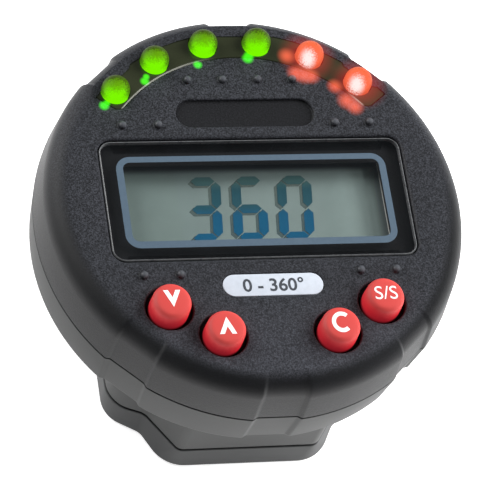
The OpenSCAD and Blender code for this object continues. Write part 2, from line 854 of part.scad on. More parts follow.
// Insulated lead from a contact tab, bent up to the board
module battery_lead(x, shade) {
    run = 1;
    start_z = floor_z + lead_d / 2 + fit;
    color(shade) translate([x, bay_l / 2 - plate_t - fit, start_z]) {
        rotate([90, 0, 0]) cylinder(d = lead_d, h = run);
        translate([0, -run, lead_bend]) rotate([-90, 0, 0]) rotate([0, 90, 0]) rotate_extrude(angle = 90)
            translate([lead_bend, 0]) circle(d = lead_d);
        translate([0, -run - lead_bend]) rod(lead_bend, board_z - start_z, lead_d);
    }
}

// Paper-thin label with round ends, in its shallow recess
module label() {
    color("white") plate(face_z - label_t, face_z) translate([0, -trim_y]) pill(label_l, label_h);
}

front_housing();
rear_housing();
base_cover();
led_lens();
led(0, "#5fe000");  // green_led_1
led(1, "#5fe000");  // green_led_2
led(2, "#5fe000");  // green_led_3
led(3, "#5fe000");  // green_led_4
led(4, "#ff3020");  // red_led_1
led(5, "#ff3020");  // red_led_2
display_window();
window_mask();
lcd_front_glass();
lcd_rear_glass();
lcd_reflector();
lcd_holder();
contact_strip(1);  // upper_contact_strip
contact_strip(-1);  // lower_contact_strip
main_board();
switch(0);  // down_switch
switch(1);  // up_switch
switch(2);  // clear_switch
switch(3);  // start_switch
plunger(0);  // down_plunger
plunger(1);  // up_plunger
plunger(2);  // clear_plunger
plunger(3);  // start_plunger
key(0);  // down_key
key(1);  // up_key
key(2);  // clear_key
key(3);  // start_key
microcontroller();
gyro_sensor();
crystal();
capacitor();
buzzer();
battery(1);  // battery_1
battery(-1);  // battery_2
terminal_contact(-cell_x);  // positive_contact
terminal_contact(cell_x);  // negative_contact
bridge_contact();
cell_spring(1);  // terminal_spring
cell_spring(-1);  // bridge_spring
battery_lead(-cell_x, "#c02020");  // positive_lead
battery_lead(cell_x, "#202020");  // negative_lead
magnet(-magnet_y);  // magnet_1
magnet(magnet_y);  // magnet_2
screws(boss_places, shell_seat, shell_screw_l, screw_d);  // shell_screws
screws(cover_places, cover_seat, cover_screw_l, screw_d);  // cover_screws
screws(board_places, board_z, board_screw_l, board_screw_d);  // board_screws
label();
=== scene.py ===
# %% [markdown]
# A digital torque angle gauge: a round moulded head with a display, four red keys and six signal
# lights, on a flat magnetic base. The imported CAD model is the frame: every size and place below
# repeats it, in millimetres, and Blender adds the finishes, the soft edges and the printed marks.

# %% Load the frame
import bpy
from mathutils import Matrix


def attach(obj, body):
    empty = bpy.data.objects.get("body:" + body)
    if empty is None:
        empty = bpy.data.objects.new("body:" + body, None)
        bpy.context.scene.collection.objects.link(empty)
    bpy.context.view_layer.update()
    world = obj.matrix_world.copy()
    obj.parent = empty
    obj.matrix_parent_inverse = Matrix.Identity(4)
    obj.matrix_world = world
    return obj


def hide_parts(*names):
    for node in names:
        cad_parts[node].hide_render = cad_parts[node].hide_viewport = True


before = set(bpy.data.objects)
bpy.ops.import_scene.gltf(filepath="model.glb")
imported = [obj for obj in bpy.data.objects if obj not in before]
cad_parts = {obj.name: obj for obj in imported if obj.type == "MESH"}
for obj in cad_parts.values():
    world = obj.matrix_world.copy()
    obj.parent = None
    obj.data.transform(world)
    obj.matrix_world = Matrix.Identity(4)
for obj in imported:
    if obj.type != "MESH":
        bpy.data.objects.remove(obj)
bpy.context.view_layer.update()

import bmesh
import bpy
import numpy as np
from mathutils import Matrix, Vector
from mathutils.geometry import tessellate_polygon

MM = 0.001

# %% [markdown]
# Camera. The photograph looks down at the face from its lower left. Place, axes and lens come from
# fitting the outline, the keys and the dots of the face at once, so they are set as an exact matrix
# and not by pointing the camera at a target.

# %% Camera
VIEW_PLACE = (-153.7, -269.6, 529.6)
VIEW_RIGHT = (0.9655, -0.1420, 0.2183)
VIEW_UP = (0.0229, 0.8812, 0.4722)
VIEW_BACK = (-0.2595, -0.4509, 0.8540)
VIEW_LENS, VIEW_SENSOR, VIEW_NEAR = 247.1, 36, 10


def link(name, data):
    """A new object that holds the data, linked to the scene."""
    made = bpy.data.objects.new(name, data)
    bpy.context.collection.objects.link(made)
    return made


camera = link("camera", bpy.data.cameras.new("camera"))
turned = Matrix((VIEW_RIGHT, VIEW_UP, VIEW_BACK)).transposed().to_4x4()
camera.matrix_world = Matrix.Translation(Vector(VIEW_PLACE) * MM) @ turned
camera.data.lens = VIEW_LENS
camera.data.sensor_width = VIEW_SENSOR
camera.data.clip_start = VIEW_NEAR * MM
bpy.context.scene.camera = camera
print("camera is", round(Vector(VIEW_PLACE).length), "mm from the foot of the gauge")

# %% [markdown]
# Shader maths. A finish is a graph of nodes. This small class wraps one socket, so that a pattern
# can be written as a Python expression: operators add Math nodes, and three methods step, mix and
# emboss. Finish owns the graph of one material and adds any other node.


# %% Shader helper
class Value:
    """One socket of a finish; sums, products and powers of it add Math nodes."""

    def __init__(self, finish, socket):
        self.finish = finish
        self.socket = socket

    def math(self, operation, a, b):
        return self.finish.node("ShaderNodeMath", {"operation": operation}, {0: a, 1: b})

    def __add__(self, other):
        return self.math("ADD", self, other)

    def __sub__(self, other):
        return self.math("SUBTRACT", self, other)

    def __rsub__(self, other):
        return self.math("SUBTRACT", other, self)

    def __mul__(self, other):
        return self.math("MULTIPLY", self, other)

    def __pow__(self, other):
        return self.math("POWER", self, other)

    __radd__ = __add__
    __rmul__ = __mul__

    def most(self, other):
        return self.math("MAXIMUM", self, other)

    def between(self, low, high, to_low=0.0, to_high=1.0):
        """Smooth step from to_low to to_high while the value goes from low to high."""
        return self.finish.node("ShaderNodeMapRange", {"interpolation_type": "SMOOTHSTEP"}, {
            "Value": self, "From Min": low, "From Max": high, "To Min": to_low, "To Max": to_high})

    def mix(self, a, b):
        """Colour between a, where the value is 0, and b, where it is 1."""
        return self.finish.node("ShaderNodeMix", {"data_type": "RGBA"}, {0: self, 6: a, 7: b}, out=2)

    def bump(self, depth, strength):
        """Relief: the value from 0 to 1 stands for a depth in millimetres."""
        return self.finish.node("ShaderNodeBump", sockets={
            "Strength": strength, "Distance": depth * MM, "Height": self})


class Finish:
    """A procedural material with one Principled shader."""

    def __init__(self, name):
        self.material = bpy.data.materials.new(name)
        self.material.use_nodes = True
        self.tree = self.material.node_tree
        self.shader = self.tree.nodes["Principled BSDF"]

    def node(self, kind, settings=None, sockets=None, out=0):
        """Adds a node: its settings first, then the values or links of its sockets."""
        node = self.tree.nodes.new(kind)
        for key, value in (settings or {}).items():
            setattr(node, key, value)
        for key, value in (sockets or {}).items():
            self.feed(node.inputs[key], value)
        return Value(self, node.outputs[out])

    def feed(self, socket, value):
        """Links a value to a socket, or sets a number or a colour on it."""
        if isinstance(value, Value):
            self.tree.links.new(value.socket, socket)
        elif socket.type == "RGBA":
            socket.default_value = (*value, 1)
        else:
            socket.default_value = value

    def shade(self, **sockets):
        """Sets inputs of the shader; an underscore in a name stands for a space."""
        for key, value in sockets.items():
            self.feed(self.shader.inputs[key.replace("_", " ")], value)
        return self

    def place(self, axis):
        """Object coordinate along X, Y or Z, in millimetres."""
        spot = self.node("ShaderNodeTexCoord", out="Object")
        return self.node("ShaderNodeSeparateXYZ", sockets={0: spot}, out=axis) * (1 / MM)

    def noise(self, size, detail=2.0, rough=0.5):
        """Noise whose lumps are about size millimetres wide."""
        spot = self.node("ShaderNodeTexCoord", out="Object")
        return self.node("ShaderNodeTexNoise", sockets={
            "Vector": spot, "Scale": 1 / (size * MM), "Detail": detail, "Roughness": rough})


def tone(red, green, blue):
    """Linear colour of an sRGB colour given from 0 to 255."""
    share = np.array([red, green, blue]) / 255
    return tuple(np.where(share < 0.04045, share / 12.92, ((share + 0.055) / 1.055) ** 2.4).tolist())


BLACK, WHITE = (0.0, 0.0, 0.0), (1.0, 1.0, 1.0)
print("mid grey in linear light:", round(tone(128, 128, 128)[0], 3))

# %% [markdown]
# Floor and light. The photograph is a cut-out on white, lit by a big soft source from the upper
# right with pale surroundings, so the scene has a near-white floor, a pale sky and soft panels. The
# big panel on the right lights without being mirrored, and a weak one in its place makes the glints,
# so that the face isn't washed out when it is seen at a low angle from the other side. The standard
# view transform keeps the white white.

# %% Floor and sky
SKY_STRENGTH, FLOOR_GLOW, FLOOR_HALF, FLOOR_DROP = 0.12, 0.75, 1500, 0.05
bpy.context.scene.view_settings.view_transform = "Standard"
world = bpy.data.worlds.new("studio")
bpy.context.scene.world = world
world.use_nodes = True
sky = world.node_tree.nodes["Background"]
sky.inputs["Color"].default_value = (*WHITE, 1)
sky.inputs["Strength"].default_value = SKY_STRENGTH

floor_mesh = bpy.data.meshes.new("floor")
floor_corners = FLOOR_HALF * np.array([(-1, -1), (1, -1), (1, 1), (-1, 1)])
floor_points = MM * np.column_stack([floor_corners, np.full(4, -FLOOR_DROP)])
floor_mesh.from_pydata(floor_points.tolist(), [], [(0, 1, 2, 3)])
floor = link("floor", floor_mesh)
pale_floor = Finish("pale_floor")
pale_floor.shade(Base_Color=pale_floor.noise(90).mix((0.90, 0.90, 0.90), (0.94, 0.94, 0.94)),
                 Roughness=0.9, Emission_Color=WHITE, Emission_Strength=FLOOR_GLOW)
floor_mesh.materials.append(pale_floor.material)
print("floor is", 2 * FLOOR_HALF, "mm wide")


# %% Light panels
def soft_panel(name, place, target, side, power):
    """Square area light at place, turned towards target, all in millimetres."""
    lamp = bpy.data.lights.new(name, "AREA")
    lamp.size = side * MM
    lamp.energy = power
    panel = link(name, lamp)
    aim = (Vector(target) - Vector(place)).to_track_quat("-Z", "Y")
    panel.matrix_world = Matrix.Translation(Vector(place) * MM) @ aim.to_matrix().to_4x4()
    return panel


RIGHT_PLACE, RIGHT_AIM, RIGHT_SIDE = (520, 110, 300), (0, 0, 20), 560
soft_panel("right_panel", RIGHT_PLACE, RIGHT_AIM, RIGHT_SIDE, 8.0).visible_glossy = False
soft_panel("right_glint", RIGHT_PLACE, RIGHT_AIM, RIGHT_SIDE, 3.0)
soft_panel("left_panel", (-420, 330, 380), (0, 0, 30), 400, 3.6)

# %% [markdown]
# Surfaces. Most pieces here are mouldings, and a moulding is a flat outline whose edge is carried
# along a small profile: down a wall, round a corner, out to a ledge. An outline is kept as points
# and outward normals, so the same outline can be grown or shrunk by adding a share of its normals.


# %% Outlines
def arc(x, y, radius, start, end, count):
    """Points x + r cos a, y + r sin a from angle start to end in degrees, and their outward normals.

    When end is less than start the arc is a hollow one, and its normals point to its centre.
    """
    angle = np.radians(np.linspace(start, end, count))
    ray = np.stack([np.cos(angle), np.sin(angle)], -1)
    return np.array([x, y]) + radius * ray, ray if end > start else -ray


def outline(arcs):
    """One closed outline from several arcs, joined by straight runs."""
    return np.concatenate([a[0] for a in arcs]), np.concatenate([a[1] for a in arcs])


def ring(x, y, radius, count=96):
    """A full circle as an outline."""
    return arc(x, y, radius, 0, 360 * (1 - 1 / count), count)


def rounded(corners, count=12):
    """Polygon with round corners: each corner [x, y, r] becomes the arc that touches both its sides."""
    spots = np.array([c[:2] for c in corners], float)
    came = spots - np.roll(spots, 1, 0)
    came /= np.linalg.norm(came, axis=1)[:, None]
    goes = np.roll(came, -1, 0)
    arcs = []
    for spot, radius, a, b in zip(spots, [c[2] for c in corners], came, goes):
        turn = np.degrees(np.arctan2(a[0] * b[1] - a[1] * b[0], a @ b))
        inward = np.array([-a[1], a[0]]) * np.sign(turn)
        middle = spot - a * radius * np.tan(np.radians(abs(turn)) / 2) + inward * radius
        start = np.degrees(np.arctan2(-inward[1], -inward[0]))
        arcs.append(arc(*middle, radius, start, start + turn, count))
    return outline(arcs)


def rounded_box(x, y, width, height, radius, count=12):
    """Rectangle about x, y with round corners."""
    return rounded([[x + i * width / 2, y + j * height / 2, radius]
                    for i, j in ((1, -1), (1, 1), (-1, 1), (-1, -1))], count)


def pill(x, y, length, height):
    """Slot shape with full round ends."""
    return outline([arc(x + (length - height) / 2, y, height / 2, -90, 90, 32),
                    arc(x - (length - height) / 2, y, height / 2, 90, 270, 32)])


print("a box with round corners has", len(rounded_box(0, 0, 4, 2, 0.5)[0]), "points")

# %% [markdown]
# Skins. A skin gathers the surfaces of one piece as arrays: strips carried along an outline, and flat
# faces between outlines. At the end the touching points are merged, which closes the seams, and the
# faces are turned outwards.


# %% Strips and profiles
def strip(points):
    """Quads of a grid of rows by columns whose last column joins the first."""
    rows, columns = points.shape[:2]
    index = np.arange(rows * columns).reshape(rows, columns)
    right = np.roll(index, -1, 1)
    quads = np.stack([index[:-1], right[:-1], right[1:], index[1:]], -1)
    return points.reshape(-1, 3), quads.reshape(-1, 4)


def lift(flat, heights):
    """Gives each row of flat points its own height."""
    return np.concatenate([flat, np.broadcast_to(heights[:, None, None], flat.shape[:2] + (1,))], -1)


def carry(path, profile):
    """Carries a profile along an outline: row i is the outline grown by profile[i][0], at profile[i][1]."""
    spots, normals = path
    grow, rise = np.array(profile, float).T
    return lift(spots[None] + grow[:, None, None] * normals[None], rise)


def bend(x, z, radius, start, end, count=7):
    """Round for a profile: x + r cos a, z + r sin a; a negative radius makes it hollow."""
    angle = np.radians(np.linspace(start, end, count))
    return np.stack([x + radius * np.cos(angle), z + radius * np.sin(angle)], -1).tolist()


print("a bend has", len(bend(0, 0, 1, 0, 90)), "points")


# %% Pieces
MERGE, SLIVER = 0.002, 0.0001


def settle(name, mesh, finish, body, nodes=()):
    """Makes the object of a finished mesh: its material, the body it rides on and the nodes it replaces."""
    mesh.materials.append(finish.material)
    made = link(name, mesh)
    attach(made, body)
    if nodes:
        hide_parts(*nodes)
    return made


class Skin:
    """The surfaces of one piece, in millimetres."""

    def __init__(self):
        self.points, self.faces, self.count = [], [], 0

    def add(self, points, faces):
        self.points.append(points)
        self.faces += (np.asarray(faces) + self.count).tolist()
        self.count += len(points)

    def wrap(self, path, profile):
        """Adds the strip of a profile carried along an outline, and gives its rows."""
        grid = carry(path, profile)
        self.add(*strip(grid))
        return grid

    def flat(self, *loops):
        """Adds one flat face inside the first loop and outside the others."""
        faces = tessellate_polygon([[Vector(p) for p in loop.tolist()] for loop in loops])
        self.add(np.concatenate(loops), np.array(faces))

    def solid(self, path, profile):
        """Adds a strip with a flat face on its first and on its last row."""
        grid = self.wrap(path, profile)
        self.flat(grid[0])
        self.flat(grid[-1])

    def piece(self, name, finish, body, slot, nodes=(), smooth=40):
        """Makes the object: merges the seams, turns the faces outwards, shades soft edges smoothly."""
        mesh = bpy.data.meshes.new(name)
        mesh.from_pydata((np.concatenate(self.points) * MM).tolist(), [], self.faces)
        shell = bmesh.new()
        shell.from_mesh(mesh)
        bmesh.ops.remove_doubles(shell, verts=shell.verts, dist=MERGE * MM)
        bmesh.ops.dissolve_degenerate(shell, dist=SLIVER * MM, edges=shell.edges)
        bmesh.ops.recalc_face_normals(shell, faces=shell.faces)
        open_edges = sum(not edge.is_manifold for edge in shell.edges)
        shell.to_mesh(mesh)
        shell.free()
        mesh.shade_smooth()
        mesh.set_sharp_from_angle(angle=np.radians(smooth))
        print(name, len(mesh.polygons), "faces,", open_edges, "open edges")
        return settle(name, mesh, finish, body, nodes)


print("points closer than", MERGE, "mm are merged")

# %% [markdown]
# Sizes of the head. The head is a turned body: a flat face, a round edge, a wall that leans in from
# the seam of the two housings, and a softly broken lower edge.

# %% Heights and radii of the head
FACE_Z, PARTING_Z, INSIDE_Z, UNDERSIDE_Z, FLOOR_Z, COVER_H = 36.5, 26.3, 33.9, 16.9, 19.1, 5.8
HEAD_R, CAVITY_R, FACE_ROUND, DRAFT = 38.0, 35.4, 4.0, 5.5
ROUND_Z = FACE_Z - FACE_ROUND
SLOPE = np.tan(np.radians(DRAFT))
FLAT_R = (HEAD_R - (ROUND_Z - PARTING_Z + FACE_ROUND * np.sin(np.radians(DRAFT))) * SLOPE
          - FACE_ROUND * np.cos(np.radians(DRAFT)))
RIM_CHAMFER = 1.0
RIM_R = HEAD_R - (PARTING_Z - UNDERSIDE_Z - RIM_CHAMFER) * SLOPE
print("flat part of the face has radius", round(float(FLAT_R), 2))

# %% [markdown]
# Spill of the signal lights. The lamps also throw light sideways, and it lies on the face and the
# strip as small soft patches, with a red haze round the two red lamps. Light sources in the lamps
# would drown in the studio light, so the patches are painted as a glow of the finishes beneath them.

# %% Spill of the signal lights
GREEN_SPILL = [(-25.1, 18.8, 0.9), (-24.5, 19.4, 0.6), (-17.2, 23.7, 0.8), (-16.8, 24.6, 0.6),
               (-7.2, 26.9, 0.8), (2.1, 28.1, 1.0), (2.5, 28.8, 0.9)]
RED_SPILL = [(9.4, 28.6, 1.6), (10.5, 25.0, 1.6), (11.9, 24.6, 1.8), (13.2, 24.4, 1.6),
             (17.3, 22.2, 1.5), (19.0, 19.2, 1.8), (20.3, 17.9, 1.6)]
RED_HALO = [(13.2, 28.4, 4.6), (21.8, 22.7, 4.6)]
SPILL_FADE = 1.3


def spill(x, y, spots, inner):
    """Soft discs [x, y, radius] that melt together: 1 minus the product of what each leaves dark."""
    dark = 1.0
    for spot_x, spot_y, radius in spots:
        reach = ((x - spot_x) ** 2 + (y - spot_y) ** 2) ** 0.5
        dark = dark * reach.between(inner * radius, SPILL_FADE * radius)
    return 1.0 - dark


def spill_colour(x, y):
    """Colour of the light that leaves the lamps sideways and falls on the face beside them."""
    shade = spill(x, y, RED_HALO, 0.3).mix(BLACK, (0.28, 0.015, 0.015))
    shade = spill(x, y, GREEN_SPILL, 0.4).mix(shade, (0.05, 0.93, 0.0))
    return spill(x, y, RED_SPILL, 0.0).mix(shade, (0.86, 0.12, 0.055))


print("patches of light:", len(GREEN_SPILL), "green and", len(RED_SPILL), "red")

# %% [markdown]
# Moulded black plastic. The real housings are charcoal nylon with a fine spark-eroded grain on the
# face and a smoother satin on the walls. Grain could be real geometry, but at a few hundredths of a
# millimetre a bump from noise is enough. The face is speckled, with a painted sheen that makes it a
# little paler near the keys, painted shade on the front of its round edge and in its pits, and painted
# highlights on the tops of the raised dots. The rear housing and the base have a plainer satin with a
# cloudy sheen, painted paler than the front and paler still on the cover, for the light from the floor.


# %% Moulded black plastic
def moulded_face():
    """Plastic of the front housing: tones by height, by distance from the axis and by grain."""
    finish = Finish("housing_black_plastic")
    x, y, z = (finish.place(axis) for axis in "XYZ")
    reach = (x ** 2 + y ** 2) ** 0.5
    grain = finish.noise(0.26, 3.0, 0.65)
    cloud = finish.noise(14)
    speck = grain.between(0.35, 0.72)
    on_face = z.between(FACE_Z - 3.4, FACE_Z - 0.6)
    # painted shade: pits and pockets below the face are painted near black
    pit_shade = z.between(FACE_Z - 0.5, FACE_Z - 0.2, 1.0, 0.0) * reach.between(32.6, 33.0, 1.0, 0.0)
    # painted sheen: the face is painted paler towards the keys
    lower_face_sheen = y.between(-27.0, -16.0, 1.0, 0.0)
    # painted shade: the front of the round edge is painted dark
    edge_shade = reach.between(FLAT_R - 0.2, FLAT_R + 2.0) * y.between(-8.0, 18.0, 0.9, 0.0)
    # painted highlight: the tops of the raised dots are painted pale and made a little glossier
    dot_highlight = z.between(FACE_Z + 0.4, FACE_Z + 0.8)
    face_dark = lower_face_sheen.mix(tone(20, 21, 24), tone(33, 34, 38))
    face_pale = lower_face_sheen.mix(tone(61, 63, 69), tone(70, 72, 79))
    face_tone = edge_shade.mix(speck.mix(face_dark, face_pale), tone(13, 14, 16))
    wall_tone = cloud.mix(tone(24, 24, 26), tone(29, 29, 31))
    body_tone = on_face.mix(wall_tone, dot_highlight.mix(face_tone, tone(72, 74, 79)))
    return finish.shade(
        Base_Color=(pit_shade * 0.75).mix(body_tone, tone(10, 10, 12)),
        Roughness=0.42 + 0.06 * cloud + 0.10 * on_face + 0.06 * speck - 0.2 * dot_highlight,
        Normal=(grain + 0.5 * finish.noise(0.7)).bump(0.05, 0.55),
        Emission_Color=on_face.mix(BLACK, spill_colour(x, y)), Emission_Strength=1.0,
        Specular_IOR_Level=0.3)


def moulded_base():
    """Plastic of the rear housing and the base: a cloudy satin, painted paler for the light from the floor,
    most on the cover.
    """
    finish = Finish("base_black_plastic")
    cloud = finish.noise(14)
    # painted light: neck and cover are painted paler than the front housing, the cover most, for the light
    # from the floor
    above_cover = finish.place("Z").between(COVER_H - 0.6, COVER_H)
    neck_tone = cloud.mix(tone(35, 36, 36), tone(40, 41, 41))
    return finish.shade(
        Base_Color=above_cover.mix(tone(53, 54, 55), neck_tone), Roughness=0.44 + 0.08 * cloud,
        Normal=finish.noise(0.26, 3.0, 0.65).bump(0.02, 0.4), Specular_IOR_Level=0.4)


housing_black = moulded_face()
base_black = moulded_base()
print("plastics:", housing_black.material.name, base_black.material.name)

# %% [markdown]
# Flutes. Six shallow grip flutes are pressed into the wall and roll over the round edge. Seen from
# above each one is a flat floor with two sloping ends, so for a ray at angle a from its middle the
# floor lies at X / cos a and a slope at the line through its end. The wall is moved inwards by the
# depth that is left, and moving the whole profile inwards makes the flute fade out in the face.

# %% Flutes
FLUTE_W, FLUTE_DEPTH, FLUTE_RAMP, FLUTE_STEP = 9.4, 0.7, 1.1, 42.3
FLUTE_REACH, FLUTE_FAR, FLUTE_CREASE, FLUTE_LIP = 12, 20, 0.06, 0.08
FLUTE_MIDS = np.array([side + turn * FLUTE_STEP for side in (90, -90) for turn in (-1, 0, 1)])


def soft_least(a, b, width):
    """Smaller of a and b, with the corner rounded over about width."""
    return (a + b - np.sqrt((a - b) ** 2 + width ** 2)) / 2


def flute_depth(angle):
    """Depth of the flutes, in mm, at each angle in degrees."""
    turn = (angle[:, None] - FLUTE_MIDS[None] + 180) % 360 - 180
    turn = np.radians(np.clip(np.abs(turn), 0, FLUTE_FAR))
    steep = FLUTE_DEPTH / FLUTE_RAMP
    floor_x = HEAD_R - FLUTE_DEPTH
    floor_half = FLUTE_W / 2 - FLUTE_RAMP
    on_floor = floor_x / np.cos(turn)
    on_ramp = (floor_x - floor_half * steep) / (np.cos(turn) - np.sin(turn) * steep)
    surface = -soft_least(-on_floor, -on_ramp, FLUTE_CREASE)
    depth = HEAD_R - soft_least(np.full_like(surface, HEAD_R), surface, FLUTE_LIP)
    return np.where(turn < np.radians(FLUTE_REACH), np.clip(depth, 0, None), 0).max(axis=1)


fine = np.linspace(-9, 9, 73)
ANGLES = np.unique(np.round(np.concatenate(
    [np.arange(0, 360, 1.0)] + [(mid + fine) % 360 for mid in FLUTE_MIDS]), 4))
DEPTHS = flute_depth(ANGLES)
RAYS = np.stack([np.cos(np.radians(ANGLES)), np.sin(np.radians(ANGLES))], -1)
print("flutes are", round(float(DEPTHS.max()), 2), "mm deep on", len(ANGLES), "rays")

# %% [markdown]
# Halves of the head. Both housings start at their seam with a small round lip over a narrow slot, which
# shows as the dark line round the head. One function gives the profile of either half.

# %% Halves of the head
LIP_ROUND, SLOT_HALF, SLOT_DEPTH = 0.16, 0.13, 0.7


def half_profile(side, inside_z, outer):
    """Rows [radius, height, share of the flutes]: cavity, seam, slot, lip, then the outer rows."""
    lip_z = PARTING_Z + side * SLOT_HALF
    slot = [(HEAD_R - SLOT_DEPTH, PARTING_Z), (HEAD_R - SLOT_DEPTH, lip_z)]
    lip = bend(HEAD_R - LIP_ROUND, lip_z + side * LIP_ROUND, LIP_ROUND, -90 * side, DRAFT * side)
    return ([(CAVITY_R, inside_z, 0), (CAVITY_R, PARTING_Z, 0)]
            + [(radius, height, 1) for radius, height in slot + lip + outer])


def turned_body(profile):
    """Rows of a turned surface: radius - share * flute depth along each ray, at the row's height."""
    radius, height, share = np.array(profile, float).T
    reach = radius[:, None] - share[:, None] * DEPTHS[None]
    return lift(reach[..., None] * RAYS[None], height)


front_rows = turned_body(half_profile(1, INSIDE_Z, bend(FLAT_R, ROUND_Z, FACE_ROUND, DRAFT, 90, 25)))
rear_rows = turned_body(half_profile(-1, FLOOR_Z, bend(
    RIM_R - RIM_CHAMFER, UNDERSIDE_Z + RIM_CHAMFER, RIM_CHAMFER, -DRAFT, -90, 11)))
print("rows of the halves:", len(front_rows), "and", len(rear_rows))

# %% [markdown]
# Front housing. On the real gauge this is one moulding: a turned wall with flutes, a flat face, and
# pockets for the window, the lens, the keys, the bare recess and the label. Cutting the pockets with
# booleans would leave sharp edges, so each pocket is its own outline carried down a profile that
# starts with a small round, and the face is the flat region that is left between them.

# %% Outlines on the face
LENS_IN, LENS_OUT, LENS_HALF, LENS_CORNER, LENS_Z, LENS_TOP = 28.4, 34.6, 52.0, 1.6, 35.18, 36.38
WINDOW, WINDOW_GAP, WINDOW_SEAT = (54.4, 23.4, 2.3), 0.2, 34.65
TRIM_Y, RECESS, RECESS_DEPTH, RECESS_ROUND = 17.0, (25, 5.5), 0.6, 0.2
LABEL_W, LABEL_H, LABEL_GAP, LABEL_DEPTH = 17.8, 4.2, 0.15, 0.4
KEY_RING, KEY_R, KEY_HOLE_R, KEY_TOP = 28.1, 3.5, 4.2, 39.46
KEY_ANGLES = {"down": -132, "up": -111, "clear": -69, "start": -48}
KEY_SPOTS = {name: KEY_RING * np.array([np.cos(np.radians(a)), np.sin(np.radians(a))])
             for name, a in KEY_ANGLES.items()}


def lens_band(grow=0.0):
    """Outline of the lens: two arcs about the centre of the face, joined by four round corners."""
    r1, r2, c = LENS_IN - grow, LENS_OUT + grow, LENS_CORNER + grow
    half = LENS_HALF + np.degrees(np.arcsin(grow / (r1 + r2) * 2))
    turn_in = half - np.degrees(np.arcsin(c / (r1 + c)))
    turn_out = half - np.degrees(np.arcsin(c / (r2 - c)))

    def corner(radius, angle, start, end):
        spot = np.radians(angle)
        return arc(radius * np.cos(spot), radius * np.sin(spot), c, start, end, 12)

    return outline([
        arc(0, 0, r2, 90 - turn_out, 90 + turn_out, 80),
        corner(r2 - c, 90 + turn_out, 90 + turn_out, 180 + half),
        corner(r1 + c, 90 + turn_in, 180 + half, 270 + turn_in),
        arc(0, 0, r1, 90 + turn_in, 90 - turn_in, 80),
        corner(r1 + c, 90 - turn_in, -90 - turn_in, -half),
        corner(r2 - c, 90 - turn_out, -half, 90 - turn_out)])


window_pocket = rounded_box(0, 0, *(side + 2 * WINDOW_GAP for side in WINDOW[:2]), WINDOW[2] + WINDOW_GAP)
lens_pocket = lens_band(0.1)
print("outlines have", len(window_pocket[0]), "and", len(lens_pocket[0]), "points")

# %% Front housing
front = Skin()
front.add(*strip(front_rows))
through, blind = [], []


def pocket(path, edge, rows, has_floor=False):
    """Pocket in the face: a round edge, then a wall through the given rows of growth and height."""
    grid = front.wrap(path, bend(edge, FACE_Z - edge, -edge, -90, 0) + rows)
    if has_floor:
        blind.append(grid)
        front.flat(grid[-1])
    else:
        through.append(grid)


def ledge(width, height):
    """Rows of a wall that stops at a ledge and goes on through the face."""
    return [(0, height), (-width, height), (-width, INSIDE_Z)]


pocket(window_pocket, 0.55, ledge(2.2, WINDOW_SEAT))
pocket(lens_pocket, 0.2, ledge(0.5, LENS_Z))
recess_foot = bend(-RECESS_ROUND, FACE_Z - RECESS_DEPTH + RECESS_ROUND, RECESS_ROUND, 0, -90)
pocket(pill(0, TRIM_Y, *RECESS), 0.3, recess_foot[1:], has_floor=True)
label_seat = pill(0, -TRIM_Y, LABEL_W + 2 * LABEL_GAP, LABEL_H + 2 * LABEL_GAP)
pocket(label_seat, 0.1, [(0, FACE_Z - LABEL_DEPTH)], has_floor=True)
for spot in KEY_SPOTS.values():
    pocket(ring(*spot, KEY_HOLE_R), 0.3, [(0, INSIDE_Z)])
front.flat(front_rows[-1], *[grid[0] for grid in through + blind])
front.flat(front_rows[0], *[grid[-1] for grid in through])
front.piece("front_housing_shell", housing_black, "gauge", "housing_black", ["front_housing"])

# %% [markdown]
# Dots. Twelve low raised dots are moulded into the face. One dome is a turned profile that starts as
# a hollow fillet and closes over the top; the same array is set down at each place.

# %% Raised dots
DOT_R, DOT_RISE, DOT_STEP, DOT_TOP_Y, DOT_SIDE_Y = 0.8, 0.8, 6.4, 23.7, 14.7
DOT_SPOTS = ([(x * DOT_STEP, DOT_TOP_Y) for x in (-1.5, -0.5, 0.5, 1.5)]
             + [(x * DOT_STEP, y) for x in (-3.5, -2.5, 2.5, 3.5) for y in (-DOT_SIDE_Y, DOT_SIDE_Y)])
dots = Skin()
dot_dome = [(DOT_R * np.cos(a) - DOT_R, FACE_Z + 0.1 + (DOT_RISE - 0.1) * np.sin(a))
            for a in np.radians(np.linspace(0, 86, 12))]
dot_profile = [(0, FACE_Z - 0.25), (0.28, FACE_Z), (0.08, FACE_Z + 0.03)] + dot_dome
for spot in DOT_SPOTS:
    dots.solid(ring(*spot, DOT_R, 24), dot_profile)
dots.piece("face_dots", housing_black, "gauge", "housing_black", smooth=60)

# %% [markdown]
# Rear housing. The pan of the head carries the same flutes down to a soft lower edge, and a neck with
# the outline of the base stands under it. It is built like the front: one turned strip, one neck
# strip, and flat faces between them, left hollow as the real moulding is.

# %% Outline of the base
NECK_QUARTER = [(24.1, 23.7, 5.5), (17.8, 26.1, 3.0), (12.6, 33.4, 2.0)]
COVER_QUARTER = [(24.1, 23.7, 5.5), (17.8, 27.3, 3.0), (14.2, 34.0, 6.6)]
SHELL_SCREWS = [(i * 31.19, j * 8.01) for i in (-1, 1) for j in (-1, 1)]
COVER_SCREWS = [(i * 18.8, j * 17.7) for i in (-1, 1) for j in (-1, 1)]
MAGNETS = [(0, 13.5), (0, -13.5)]
BASE_WALL, SCREW_SEAT_R = 2.4, 2.3


def mirrored(quarter):
    """Corners of a whole outline from those of its first quarter, counter-clockwise."""
    return (quarter + [(-x, y, r) for x, y, r in quarter[::-1]]
            + [(-x, -y, r) for x, y, r in quarter] + [(x, -y, r) for x, y, r in quarter[::-1]])


base_path = rounded(mirrored(NECK_QUARTER), 14)
cover_path = rounded(mirrored(COVER_QUARTER), 14)
print("base outline has", len(base_path[0]), "points")

